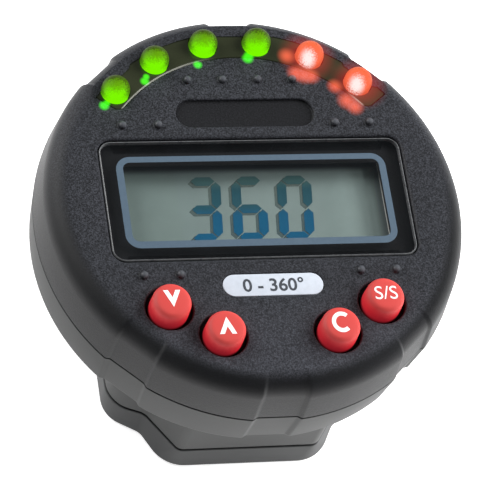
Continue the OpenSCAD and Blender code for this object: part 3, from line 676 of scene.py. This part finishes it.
# %% Rear housing
SHELL_SEAT_TOP, NECK_FILLET, NECK_FOOT = 18.6, 0.5, 0.25
rear = Skin()
rear.add(*strip(rear_rows))
rear.flat(rear_rows[0])
neck = rear.wrap(base_path, bend(NECK_FILLET, UNDERSIDE_Z - NECK_FILLET, -NECK_FILLET, -90, 0)
                 + bend(-NECK_FOOT, COVER_H + NECK_FOOT, NECK_FOOT, 0, -90))
hollow = rear.wrap(base_path, [(-BASE_WALL, COVER_H), (-BASE_WALL, UNDERSIDE_Z - 0.3)])
seats = [rear.wrap(ring(*spot, SCREW_SEAT_R, 40),
                   [(0.12, UNDERSIDE_Z), (0, UNDERSIDE_Z + 0.12), (0, SHELL_SEAT_TOP)])
         for spot in SHELL_SCREWS]
for seat in seats:
    rear.flat(seat[-1])
rear.flat(rear_rows[-1], neck[0], *[seat[0] for seat in seats])
rear.flat(neck[-1], hollow[0])
rear.flat(hollow[-1])
rear.piece("rear_housing_shell", base_black, "gauge", "housing_black", ["rear_housing"])

# %% [markdown]
# Base cover. A tray screwed on from below. A groove under its top edge makes the dark line between
# cover and neck. The skirt is fuller at the foot than at the neck, so each of its rows is a mix of
# the two outlines, which have the same number of points. The lower edge is softly rounded.

# %% Base cover
GROOVE_Z, GROOVE_DEPTH, COVER_FLOOR, FOOT_ROUND = COVER_H - 0.35, 0.8, 1.6, 0.5
MAGNET_CUP_R, MAGNET_CUP_H, MAGNET_RIM_R, POST_R, SCREW_SEAT_H = 9.1, 4.1, 10.5, 3.0, 2.1
cover = Skin()
foot_rows = carry(cover_path, bend(-FOOT_ROUND, FOOT_ROUND, FOOT_ROUND, -90, 0))
top_rows = carry(base_path, bend(-0.2, GROOVE_Z - 0.3, 0.3, 0, 90))
share = np.linspace(0, 1, 9)[1:-1, None, None] ** 1.3
skirt = np.concatenate([foot_rows, (1 - share) * foot_rows[-1] + share * top_rows[0], top_rows])
cover.add(*strip(skirt))
rim = cover.wrap(base_path, [(-GROOVE_DEPTH, GROOVE_Z), (-GROOVE_DEPTH, COVER_H)])
tray = cover.wrap(base_path, [(-BASE_WALL, COVER_H), (-BASE_WALL, COVER_FLOOR)])
cups = [cover.wrap(ring(*spot, MAGNET_CUP_R), [(0.3, 0), (0, 0.3), (0, MAGNET_CUP_H)])
        for spot in MAGNETS]
heads = [cover.wrap(ring(*spot, SCREW_SEAT_R, 40), [(0.15, 0), (0, 0.15), (0, SCREW_SEAT_H)])
         for spot in COVER_SCREWS]
rims = [cover.wrap(ring(*spot, MAGNET_RIM_R), [(0, COVER_FLOOR), (0, COVER_H)]) for spot in MAGNETS]
posts = [cover.wrap(ring(*spot, POST_R, 40), [(0, COVER_FLOOR), (0, COVER_H)]) for spot in COVER_SCREWS]
for closed in cups + heads + rims + posts:
    cover.flat(closed[-1])
cover.flat(skirt[0], *[hole[0] for hole in cups + heads])
cover.flat(skirt[-1], rim[0])
cover.flat(rim[-1], tray[0])
cover.flat(tray[-1], *[foot[0] for foot in rims + posts])
cover.piece("base_cover_tray", base_black, "gauge", "housing_black", ["base_cover"])

# %% [markdown]
# Strip of the signal lights. A smoked, polished strip let into the face, with a round hole for each
# light. It is nearly black, with a haze in it, and a painted highlight lies on its inner edge in two
# places.


# %% Smoked plastic
def smoked_plastic():
    """Dark olive plastic with a haze, a painted highlight on the inner edge and the spill of the lamps."""
    finish = Finish("smoked_lens")
    x, y = finish.place("X"), finish.place("Y")
    haze = finish.noise(5)
    reach = (x ** 2 + y ** 2) ** 0.5
    # painted highlight: a pale line on the inner edge, in two stretches
    inner_edge_highlight = reach.between(LENS_IN + 0.15, LENS_IN + 0.35, 1.0, 0.0)
    inner_edge_highlight = inner_edge_highlight * x.between(-12, -3, 1.0, 0.0).most(x.between(19, 21))
    dark = haze.mix(tone(38, 42, 27), tone(47, 51, 35))
    return finish.shade(
        Base_Color=inner_edge_highlight.mix(dark, tone(150, 150, 142)), Roughness=0.08 + 0.10 * haze, Coat_Weight=0.3,
        Normal=haze.bump(0.06, 0.4), Emission_Color=spill_colour(x, y), Emission_Strength=1.0)


smoke = smoked_plastic()
print("strip:", smoke.material.name)

# %% Smoked strip
LIGHT_RING, LIGHT_STEP, LIGHT_TURN, LIGHT_R, LIGHT_TOP, LIGHT_BASE = 31.5, 17.9, 1.5, 2.5, 39.5, 30.9
LIGHT_ANGLES = np.radians(90 + LIGHT_TURN + (2.5 - np.arange(6)) * LIGHT_STEP)
LIGHT_SPOTS = LIGHT_RING * np.stack([np.cos(LIGHT_ANGLES), np.sin(LIGHT_ANGLES)], -1)
LIGHT_NODES = [f"green_led_{i}" for i in (1, 2, 3, 4)] + ["red_led_1", "red_led_2"]
LIGHT_GAP, LENS_EDGE = 0.1, 0.25

lens = Skin()
lens_rows = lens.wrap(lens_band(), [(-0.1, LENS_Z), (0, LENS_Z + 0.1)]
                      + bend(-LENS_EDGE, LENS_TOP - LENS_EDGE, LENS_EDGE, 0, 90))
lens_holes = [lens.wrap(ring(*spot, LIGHT_R + LIGHT_GAP, 64),
                        [(0, LENS_Z), (0, LENS_TOP - 0.1), (0.1, LENS_TOP)]) for spot in LIGHT_SPOTS]
lens.flat(lens_rows[0], *[hole[0] for hole in lens_holes])
lens.flat(lens_rows[-1], *[hole[-1] for hole in lens_holes])
lens.piece("smoked_light_strip", smoke, "gauge", "lens_smoke", ["led_lens"])

# %% [markdown]
# Signal lights. Each is a round lamp of cast epoxy: a flange, a straight body and a half sphere, with
# two leads. The chip throws its light forwards, and the glow is painted brighter on the side of the
# dome towards the keys, with painted shade on its far side and round its rim. Two attributes of the
# mesh carry, for each point, how far it lies across and up from the middle of the dome in the
# photograph's axes, and the glow is a function of the two.


# %% Lamp finishes
def glow(finish):
    """Grain of the frosted dome, and the places across and up on it in mm, stirred by that grain."""
    grain = finish.noise(0.30, 2.0, 0.6)
    across, upward = (finish.node("ShaderNodeAttribute", {"attribute_name": name}, out="Fac")
                      for name in ("across", "upward"))
    return grain, across + 1.5 * (grain - 0.5), upward + 2.0 * (grain - 0.5)


def cast(finish, grain, dark, pale, light):
    """Shades cast epoxy: a dark frosted body that hardly mirrors, and its light."""
    return finish.shade(Base_Color=grain.mix(dark, pale), Roughness=0.5 + 0.1 * grain,
                        Emission_Color=light, Emission_Strength=1.0, Specular_IOR_Level=0.06)


def green_epoxy():
    """Green lamp: bright below, painted shade making it olive above, and a painted dark rim that spares its
    lowest part.
    """
    finish = Finish("green_light_epoxy")
    grain, across, upward = glow(finish)
    shade = upward.between(-1.3, 0.9).mix(tone(124, 248, 0), tone(96, 160, 8))
    # painted shade: the upper side of the dome fades to olive
    shade = upward.between(0.8, 2.3).mix(shade, tone(48, 60, 14))
    # painted shade round the rim of the dome
    rim = ((across ** 2 + upward ** 2) ** 0.5).between(1.5, 2.45) * upward.between(-2.1, -0.5)
    light = (rim * 0.8).mix(shade, tone(38, 48, 14))
    return cast(finish, grain, (0.01, 0.02, 0.0), (0.02, 0.04, 0.0), light)


def red_epoxy():
    """Red lamp: a nearly white core low on the dome, orange-red round it, and painted shade on its rim."""
    finish = Finish("red_light_epoxy")
    grain, across, upward = glow(finish)
    core = ((across + 0.35) ** 2 + ((upward + 0.8) * 0.8) ** 2) ** 0.5
    shade = upward.between(1.0, 2.4).mix(tone(250, 108, 74), tone(246, 110, 70))
    shade = core.between(0.4, 1.9, 1.0, 0.0).mix(shade, tone(255, 240, 236))
    # painted shade round the rim of the dome
    rim = ((across ** 2 + upward ** 2) ** 0.5).between(1.9, 2.6)
    light = (rim * 0.45).mix(shade, tone(180, 56, 40))
    return cast(finish, grain, (0.02, 0.005, 0.0), (0.05, 0.01, 0.0), light)


LAMP_FINISHES = {"green": green_epoxy(), "red": red_epoxy()}
print("lamps:", list(LAMP_FINISHES))

# %% Signal lights
LEAD_HALF, LEAD_STEP, LEAD_FOOT, FLANGE_GROW, FLANGE_T = 0.25, 1.27, 23.7, 0.4, 1.0


def points_of(mesh):
    """Points of a mesh as rows x, y, z."""
    flat = np.empty(3 * len(mesh.vertices))
    mesh.vertices.foreach_get("co", flat)
    return flat.reshape(-1, 3)


def mark_glow(lamp, middle):
    """Stores, for each point of a lamp, its distance from middle along the two axes of the view, in mm."""
    away = points_of(lamp.data) / MM - middle
    for name, axis in (("across", VIEW_RIGHT), ("upward", VIEW_UP)):
        lamp.data.attributes.new(name, "FLOAT", "POINT").data.foreach_set("value", away @ np.array(axis))


flange_z = LIGHT_BASE + FLANGE_T
lamp_profile = ([(FLANGE_GROW, LIGHT_BASE), (FLANGE_GROW, flange_z), (0, flange_z)]
                + bend(-LIGHT_R, LIGHT_TOP - LIGHT_R, LIGHT_R, 0, 88, 20))
for light_name, light_spot, light_angle in zip(LIGHT_NODES, LIGHT_SPOTS, LIGHT_ANGLES):
    light = Skin()
    light.solid(ring(*light_spot, LIGHT_R, 64), lamp_profile)
    along = np.array([-np.sin(light_angle), np.cos(light_angle)])
    for side in (-1, 1):
        light.solid(ring(*(light_spot + side * LEAD_STEP * along), LEAD_HALF, 12),
                    [(0, LEAD_FOOT), (0, LIGHT_BASE)])
    colour = light_name.split("_")[0]
    lamp = light.piece(light_name + "_lamp", LAMP_FINISHES[colour], "gauge", "led_" + colour, [light_name])
    mark_glow(lamp, np.append(light_spot, LIGHT_TOP - LIGHT_R))

# %% [markdown]
# Window. A clear acrylic plate sits a little below the face, with a polished edge whose glint is
# painted as a grey band. Its border is printed black behind, and a grey-blue line is printed round the
# clear part. The plate is see-through by its alpha, because a refracting plate would shut the light of
# the lamps out of the display.

# %% Window plate
WINDOW_LOW, WINDOW_TOP, WINDOW_ROUND = 34.8, 36.3, 0.3
clear = Finish("clear_window")
smear = clear.noise(6, 3.0, 0.6)
clear.shade(Base_Color=smear.mix(tone(30, 33, 36), tone(44, 48, 52)), Roughness=0.04 + 0.05 * smear,
            Alpha=smear.between(0.2, 0.8, 0.10, 0.15), Coat_Weight=0.6)
window = Skin()
window.solid(rounded_box(0, 0, *WINDOW), [(-0.1, WINDOW_LOW), (-0.04, WINDOW_LOW + 0.1)]
             + bend(-WINDOW_ROUND - 0.04, WINDOW_TOP - WINDOW_ROUND, WINDOW_ROUND, 0, 90))
window.piece("window_plate", clear, "gauge", "window_clear", ["display_window"])


# %% Window edge and printed line
def two_tone(name, low, high, size, rough, spread=0.12, detail=3.0, fine=0.5, metal=0.0, relief=0.0):
    """Finish that wanders between two sRGB tones by noise of a size in mm, and as much in roughness."""
    finish = Finish(name)
    wander = finish.noise(size, detail, fine)
    finish.shade(Base_Color=wander.mix(tone(*low), tone(*high)), Metallic=metal,
                 Roughness=rough + spread * wander if spread else rough)
    if relief:
        finish.shade(Normal=wander.bump(relief, 0.5))
    return finish


EDGE_LOW, LINE_TOP, LINE_T = 35.5, 36.312, 0.02
LINE_OUTER, LINE_INNER = (-0.28, -0.38, 48.6, 17.9, 2.6), (-0.26, -0.28, 46.15, 15.45, 1.3)
# painted highlight: the edge band is grey with pale patches, for the glint of the polished edge
edge_glint_grey = two_tone("window_edge_glint", (52, 54, 56), (120, 122, 124), 0.8, 0.2, 0.2, fine=0.7)
edge_turn = WINDOW_TOP - WINDOW_ROUND
edge = Skin()
edge.wrap(rounded_box(0, 0, *WINDOW), [(-WINDOW_ROUND, EDGE_LOW), (0, EDGE_LOW)]
          + bend(-WINDOW_ROUND, edge_turn, WINDOW_ROUND, 0, 78)
          + [(-WINDOW_ROUND, edge_turn), (-WINDOW_ROUND, EDGE_LOW)])
edge.piece("window_edge", edge_glint_grey, "gauge", "window_clear")

line_blue = two_tone("line_print", (70, 86, 100), (80, 97, 112), 0.5, 0.35, 0.1)
line = Skin()
line_rows = [line.wrap(rounded_box(*box), [(0, LINE_TOP - LINE_T), (0, LINE_TOP)])
             for box in (LINE_OUTER, LINE_INNER)]
for level in (0, 1):
    line.flat(*[rows[level] for rows in line_rows])
line.piece("window_line", line_blue, "gauge", "mask_black")

# %% [markdown]
# Liquid crystal display. Behind the window lies a grey-green reflective panel. The digits are seven
# mitred segments each, leaning a little, with the drop shadow that a real cell throws on its
# reflector. A segment is a stretched hexagon, so all segments are one array scaled and turned.


# %% Display finishes
def display_panel():
    """Grey-green cell: paler to the right, with painted light against the shadow at the right, a faint step
    at the left, and a painted shadow of the border.
    """
    finish = Finish("display_panel")
    x, y, cloud = finish.place("X"), finish.place("Y"), finish.noise(9)
    shade = x.between(-22.0, 4.0).mix(tone(117, 135, 133), tone(132, 150, 147))
    # painted light: paler again towards the right, against the real shadow of the border there
    shade = x.between(13.0, 20.5).mix(shade, tone(160, 180, 176))
    shade = x.between(-13.6, -13.1, 0.10, 0.0).mix(shade, tone(120, 142, 122))
    shade = (finish.noise(0.22) * 0.18).mix(shade, tone(112, 124, 116))
    # painted shadow of the border along the top and the right
    border_shadow = y.between(6.9, 8.4).most(x.between(21.6, 23.6) * 0.85)
    shade = (cloud * 0.1).mix(border_shadow.mix(shade, tone(38, 44, 52)), tone(150, 160, 154))
    return finish.shade(Base_Color=shade, Roughness=0.45 + 0.1 * cloud)


def segment_ink():
    """Dark segments: blue below, grey-green above."""
    finish = Finish("segment_ink")
    y, grain = finish.place("Y"), finish.noise(0.6)
    low = (grain * 0.4).mix(tone(2, 88, 124), tone(6, 98, 134))
    high = y.between(3.6, 5.6).mix(tone(32, 82, 94), tone(68, 106, 106))
    return finish.shade(Base_Color=y.between(-1.6, 0.8).mix(low, high), Roughness=0.35 + 0.1 * grain)


def segment_shadow():
    """Thin shadow of the segments, fainter towards the top."""
    finish = Finish("segment_shadow")
    y = finish.place("Y")
    shade = y.between(-5, 6).mix(tone(84, 106, 108), tone(104, 120, 112))
    return finish.shade(Base_Color=shade, Roughness=0.6, Alpha=y.between(-6, 6.5, 0.5, 0.34))


panel, ink, shadow = display_panel(), segment_ink(), segment_shadow()
print("display:", [finish.material.name for finish in (panel, ink, shadow)])

# %% Digits
DIGIT_SIZE, DIGIT_LEAN, DIGIT_Y = (6.3, 12.85), 0.09, 0.1
SEGMENT_W, SEGMENT_GAP, SEGMENT_T = 1.7, 0.34, 0.012
DIGIT_PLACES = [("3", -8.9), ("6", -0.65), ("0", 7.6)]
SEGMENTS = {"3": "abcdg", "6": "acdefg", "0": "abcdef"}
GLASS_TOP, INK_LIFT, SHADOW_LIFT, SHADOW_SHIFT, SHADOW_GROW = 32.25, 0.05, 0.02, (-0.55, -0.42), 0.04


def segment(length, width):
    """Hexagon along x: two points on the axis and four at half the width, mitred at 45 degrees."""
    long, half = length / 2, width / 2
    return np.array([(-long, 0), (-long + half, -half), (long - half, -half), (long, 0),
                     (long - half, half), (-long + half, half)])


def digit_segments(figure):
    """The hexagons of one figure about its middle, upright."""
    wide, high = np.array(DIGIT_SIZE) - SEGMENT_W
    across = segment(wide - SEGMENT_GAP, SEGMENT_W)
    along = segment(high / 2 - SEGMENT_GAP, SEGMENT_W)[:, ::-1]
    spots = {"a": (across, 0, high / 2), "g": (across, 0, 0), "d": (across, 0, -high / 2),
             "b": (along, wide / 2, high / 4), "c": (along, wide / 2, -high / 4),
             "f": (along, -wide / 2, high / 4), "e": (along, -wide / 2, -high / 4)}
    return [shape + np.array([x, y]) for shape, x, y in (spots[key] for key in SEGMENTS[figure])]


def figures(top, shift, grow=0.0):
    """Skin of all lit segments as thin plates: grown about their middles, leaned, shifted, up to top."""
    skin = Skin()
    for figure, x in DIGIT_PLACES:
        for shape in digit_segments(figure):
            middle = shape.mean(axis=0)
            flat = middle + (shape - middle) * (1 + grow)
            leaned = flat + np.column_stack([DIGIT_LEAN * flat[:, 1] + x, np.full(6, DIGIT_Y)]) + shift
            rows = lift(np.stack([leaned, leaned]), np.array([top - SEGMENT_T, top]))
            skin.add(*strip(rows))
            skin.flat(rows[0])
            skin.flat(rows[1])
    return skin


digits = figures(GLASS_TOP + INK_LIFT, (0.0, 0.0))
digits.piece("display_figures", ink, "gauge", "lcd_glass")
shades = figures(GLASS_TOP + SHADOW_LIFT, SHADOW_SHIFT, SHADOW_GROW)
shades.piece("display_figure_shadows", shadow, "gauge", "lcd_glass")

# %% [markdown]
# Keys. Four red silicone-soft caps stand in round holes. Each is turned: a post, a flange under the
# face, a straight wall, a wide soft edge and a low crown. Silicone lets some light through, and the
# walls carry a faint painted red glow for it. The caps are painted paler towards the top, where light
# falls, and near black below the face as painted shade. The marks are printed in white on top: an open
# angle down and up, C for clear, S/S for start and stop.


# %% Key finishes
def key_rubber():
    """Red silicone: painted paler towards the top, painted dark below the face, with a faint painted glow.
    """
    finish = Finish("key_red_rubber")
    z, cloud = finish.place("Z"), finish.noise(3.5)
    # painted light: the caps are painted paler towards the top, where the light falls
    shade = z.between(36.6, 39.2).mix(tone(186, 24, 32), tone(182, 66, 60))
    shade = (cloud * 0.25).mix(shade, tone(206, 36, 40))
    # painted shade: below the face, in the holes, the caps are painted near black
    in_light = z.between(FACE_Z - 1.6, FACE_Z - 0.4)
    # painted glow on the walls, for light that the silicone lets through
    painted_glow = in_light * z.between(38.3, 39.4, 1.0, 0.3)
    return finish.shade(
        Base_Color=in_light.mix(tone(30, 4, 6), shade), Roughness=0.58 + 0.08 * cloud,
        Normal=finish.noise(0.16).bump(0.012, 0.35),
        Emission_Color=painted_glow.mix(BLACK, (0.20, 0.008, 0.014)), Emission_Strength=1.0)


key_red = key_rubber()
mark_white = two_tone("mark_white_print", (232, 228, 228), (250, 248, 248), 0.35, 0.5, 0.0, 2.0)
print("keys:", key_red.material.name, mark_white.material.name)

# %% Key caps
KEY_EDGE, KEY_CROWN, KEY_TAPER, POST_FOOT, KEY_POST_R = 1.05, 0.16, 0.1, 31.3, 2.0
KEY_FLANGE_Z, KEY_FLANGE_T, KEY_FLANGE_R = 32.6, 1.2, 4.8


def crown(reach):
    """Height of the key top at a distance from its axis: a shallow bowl turned over."""
    return KEY_TOP - KEY_CROWN * (np.asarray(reach, float) / KEY_R) ** 2


def key_profile():
    """Rows of radius and height of a turned cap, from the foot of its post to the middle of its top."""
    flange_top = KEY_FLANGE_Z + KEY_FLANGE_T
    edge_z = float(crown(KEY_R - KEY_EDGE)) - KEY_EDGE
    reach = np.linspace(KEY_R - KEY_EDGE - KEY_TAPER, 0.12, 9)
    return ([(KEY_POST_R, POST_FOOT), (KEY_POST_R, KEY_FLANGE_Z), (KEY_FLANGE_R, KEY_FLANGE_Z)]
            + [(KEY_FLANGE_R, flange_top), (KEY_R, flange_top), (KEY_R - 0.02, FACE_Z)]
            + bend(KEY_R - KEY_TAPER - KEY_EDGE, edge_z, KEY_EDGE, 2, 88, 12)
            + np.stack([reach, crown(reach)], -1).tolist())


for key_name, key_spot in KEY_SPOTS.items():
    cap = Skin()
    cap.solid(ring(*key_spot, 1.0, 72), [(radius - 1.0, height) for radius, height in key_profile()])
    cap.piece(key_name + "_key_cap", key_red, key_name + "_button", "key_red", [key_name + "_key"])

# %% [markdown]
# Printed marks. The open angles are bent bars, made from their own corner points; the letters come
# from Blender's built-in typeface, filled flat and turned into a mesh. Every mark is laid on the
# crown of its key, so no letter floats or sinks.


# %% Shapes of the marks
def lettering(words, height, bold=0.0):
    """Flat outline text as points in mm about its middle, and its faces."""
    curve = bpy.data.curves.new("lettering", "FONT")
    curve.body = words
    curve.offset = bold
    curve.resolution_u = 6
    holder = link("lettering", curve)
    bpy.context.view_layer.update()
    mesh = bpy.data.meshes.new_from_object(holder.evaluated_get(bpy.context.evaluated_depsgraph_get()))
    points = points_of(mesh)[:, :2]
    faces = [list(face.vertices) for face in mesh.polygons]
    bpy.data.objects.remove(holder)
    bpy.data.curves.remove(curve)
    bpy.data.meshes.remove(mesh)
    low, high = points.min(0), points.max(0)
    return (points - (low + high) / 2) * height / (high - low)[1], faces


def angle_mark(width, height, bar):
    """Open angle with its tip up: two bars of equal width that meet in the middle."""
    slant = bar * np.hypot(width / 2, height) / height
    points = np.array([(-width / 2, -height / 2), (0, height / 2), (width / 2, -height / 2),
                       (width / 2 - slant, -height / 2), (0, height / 2 - slant * 2 * height / width),
                       (-width / 2 + slant, -height / 2)])
    return points, [[0, 5, 4, 1], [1, 4, 3, 2]]


def arc_mark(radius, bar, start, end, steps=32):
    """Letter C: a ring of the given mid radius and bar width, open from end to start, a little narrow."""
    outer, _ = arc(0, 0, radius + bar / 2, start, end, steps + 1)
    inner, _ = arc(0, 0, radius - bar / 2, start, end, steps + 1)
    first = np.arange(steps)
    quads = np.stack([first, first + 1, first + steps + 2, first + steps + 1], -1)
    return np.concatenate([outer, inner]) * np.array([0.94, 1.04]), quads.tolist()


up_points, up_faces = angle_mark(3.0, 3.2, 0.76)
KEY_MARKS = {"up": (up_points, up_faces), "clear": arc_mark(1.52, 0.74, 48, 312),
             "start": lettering("S/S", 2.5), "down": (up_points * np.array([1, -1]), up_faces)}
print("marks:", {name: len(faces) for name, (_, faces) in KEY_MARKS.items()})

# %% Printing the marks
INK_RISE, INK_SINK, MARK_SHIFT = 0.016, 0.03, np.array([0.0, 0.25])


def print_mark(name, points, faces, middle, surface, finish, body, slot):
    """Lays flat points on a surface height(reach) and gives them the thickness of print ink."""
    mesh = bpy.data.meshes.new(name)
    mesh.from_pydata(np.column_stack([points, 0 * points[:, 0]]).tolist(), [], faces)
    shell = bmesh.new()
    shell.from_mesh(mesh)
    bmesh.ops.remove_doubles(shell, verts=shell.verts, dist=1e-4)
    bmesh.ops.triangulate(shell, faces=shell.faces)
    bmesh.ops.subdivide_edges(shell, edges=shell.edges, cuts=3, use_grid_fill=True)
    bmesh.ops.solidify(shell, geom=shell.faces[:], thickness=INK_SINK)
    bmesh.ops.recalc_face_normals(shell, faces=shell.faces)
    shell.to_mesh(mesh)
    shell.free()
    flat = points_of(mesh)
    is_top = flat[:, 2] > flat[:, 2].mean()
    height = surface(np.linalg.norm(flat[:, :2], axis=1)) + np.where(is_top, INK_RISE, -INK_SINK)
    laid = np.column_stack([flat[:, :2] + np.asarray(middle), height]) * MM
    mesh.vertices.foreach_set("co", laid.ravel())
    mesh.update()
    print(name, len(mesh.polygons), "faces")
    settle(name, mesh, finish, body)


for key_name, (points, faces) in KEY_MARKS.items():
    print_mark(key_name + "_key_mark", points + MARK_SHIFT, faces, KEY_SPOTS[key_name], crown, mark_white,
               key_name + "_button", "label_white")

# %% [markdown]
# Label. A white plate with round ends lies in its recess under the display. It carries only the range
# of the dial, in dark grey.

# %% Label
LABEL_ROUND = 0.12
paper = two_tone("label_paper", (178, 185, 195), (196, 203, 213), 0.8, 0.4, 0.1)
label = Skin()
label.solid(pill(0, -TRIM_Y, LABEL_W, LABEL_H), [(0, FACE_Z - LABEL_DEPTH)]
            + bend(-LABEL_ROUND, FACE_Z - LABEL_ROUND, LABEL_ROUND, 0, 90))
label.piece("range_label", paper, "gauge", "label_white", ["label"])

print_grey = two_tone("print_dark_grey", (52, 56, 62), (70, 74, 80), 0.3, 0.5, 0.0, 2.0)
print_mark("range_label_print", *lettering("0 - 360°", 2.6, 0.018), (0, -TRIM_Y),
           lambda reach: FACE_Z + 0 * reach, print_grey, "gauge", "label_white")

# %% [markdown]
# Inside and underside. The remaining solids keep their CAD mesh: the mask, the layers of the display,
# the board with its parts, the cells, the contacts, the magnets and the screws. Most are hidden in
# the closed housing, but each still gets the finish of what it is.

# %% Finishes of the inner pieces
INNER_FINISHES = [
    # name, darker tone, paler tone, grain in mm, roughness, metal, relief in mm, nodes
    ("reflector_foil", (150, 158, 150), (176, 182, 174), 0.8, 0.4, 0.3, 0.0, ["lcd_reflector"]),
    ("holder_white_plastic", (206, 206, 200), (226, 226, 220), 4, 0.45, 0.0, 0.02, ["lcd_holder"]),
    ("contact_rubber", (176, 140, 140), (200, 168, 166), 0.4, 0.6, 0.0, 0.02,
     ["upper_contact_strip", "lower_contact_strip"]),
    ("board_green_mask", (14, 70, 34), (26, 96, 48), 2.5, 0.3, 0.0, 0.02, ["main_board"]),
    ("chip_epoxy", (22, 22, 24), (36, 36, 38), 0.5, 0.55, 0.0, 0.02,
     ["microcontroller", "gyro_sensor", "buzzer"] + [key + "_switch" for key in KEY_ANGLES]),
    ("plunger_nylon", (222, 218, 206), (238, 234, 224), 1.5, 0.45, 0.0, 0.0,
     [key + "_plunger" for key in KEY_ANGLES]),
    ("can_metal", (170, 172, 175), (200, 202, 205), 0.6, 0.3, 1.0, 0.01, ["crystal", "capacitor"]),
    ("cell_sleeve", (88, 98, 108), (126, 136, 146), 6, 0.3, 0.2, 0.0, ["battery_1", "battery_2"]),
    ("contact_nickel", (178, 172, 152), (206, 200, 182), 0.7, 0.28, 1.0, 0.01,
     ["positive_contact", "negative_contact", "bridge_contact", "terminal_spring", "bridge_spring"]),
    ("lead_red_sleeve", (160, 20, 20), (190, 36, 34), 1.0, 0.4, 0.0, 0.0, ["positive_lead"]),
    ("lead_black_sleeve", (22, 22, 24), (40, 40, 42), 1.0, 0.4, 0.0, 0.0, ["negative_lead"]),
    ("magnet_plate", (168, 172, 178), (204, 207, 212), 1.4, 0.22, 1.0, 0.01, ["magnet_1", "magnet_2"]),
    ("screw_zinc", (126, 130, 136), (170, 174, 180), 0.8, 0.3, 1.0, 0.01,
     ["shell_screws", "cover_screws", "board_screws"]),
]


def dress(finish, names):
    """Gives CAD nodes a finish."""
    for name in names:
        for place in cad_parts[name].material_slots:
            place.material = finish.material
    print(finish.material.name, "on", len(names), "nodes")


dress(two_tone("mask_print", (22, 23, 25), (30, 31, 33), 3.0, 0.25, 0.10), ["window_mask"])
dress(panel, ["lcd_front_glass", "lcd_rear_glass"])
for name, low, high, size, rough, metal, relief, nodes in INNER_FINISHES:
    dress(two_tone(name, low, high, size, rough, metal=metal, relief=relief), nodes)
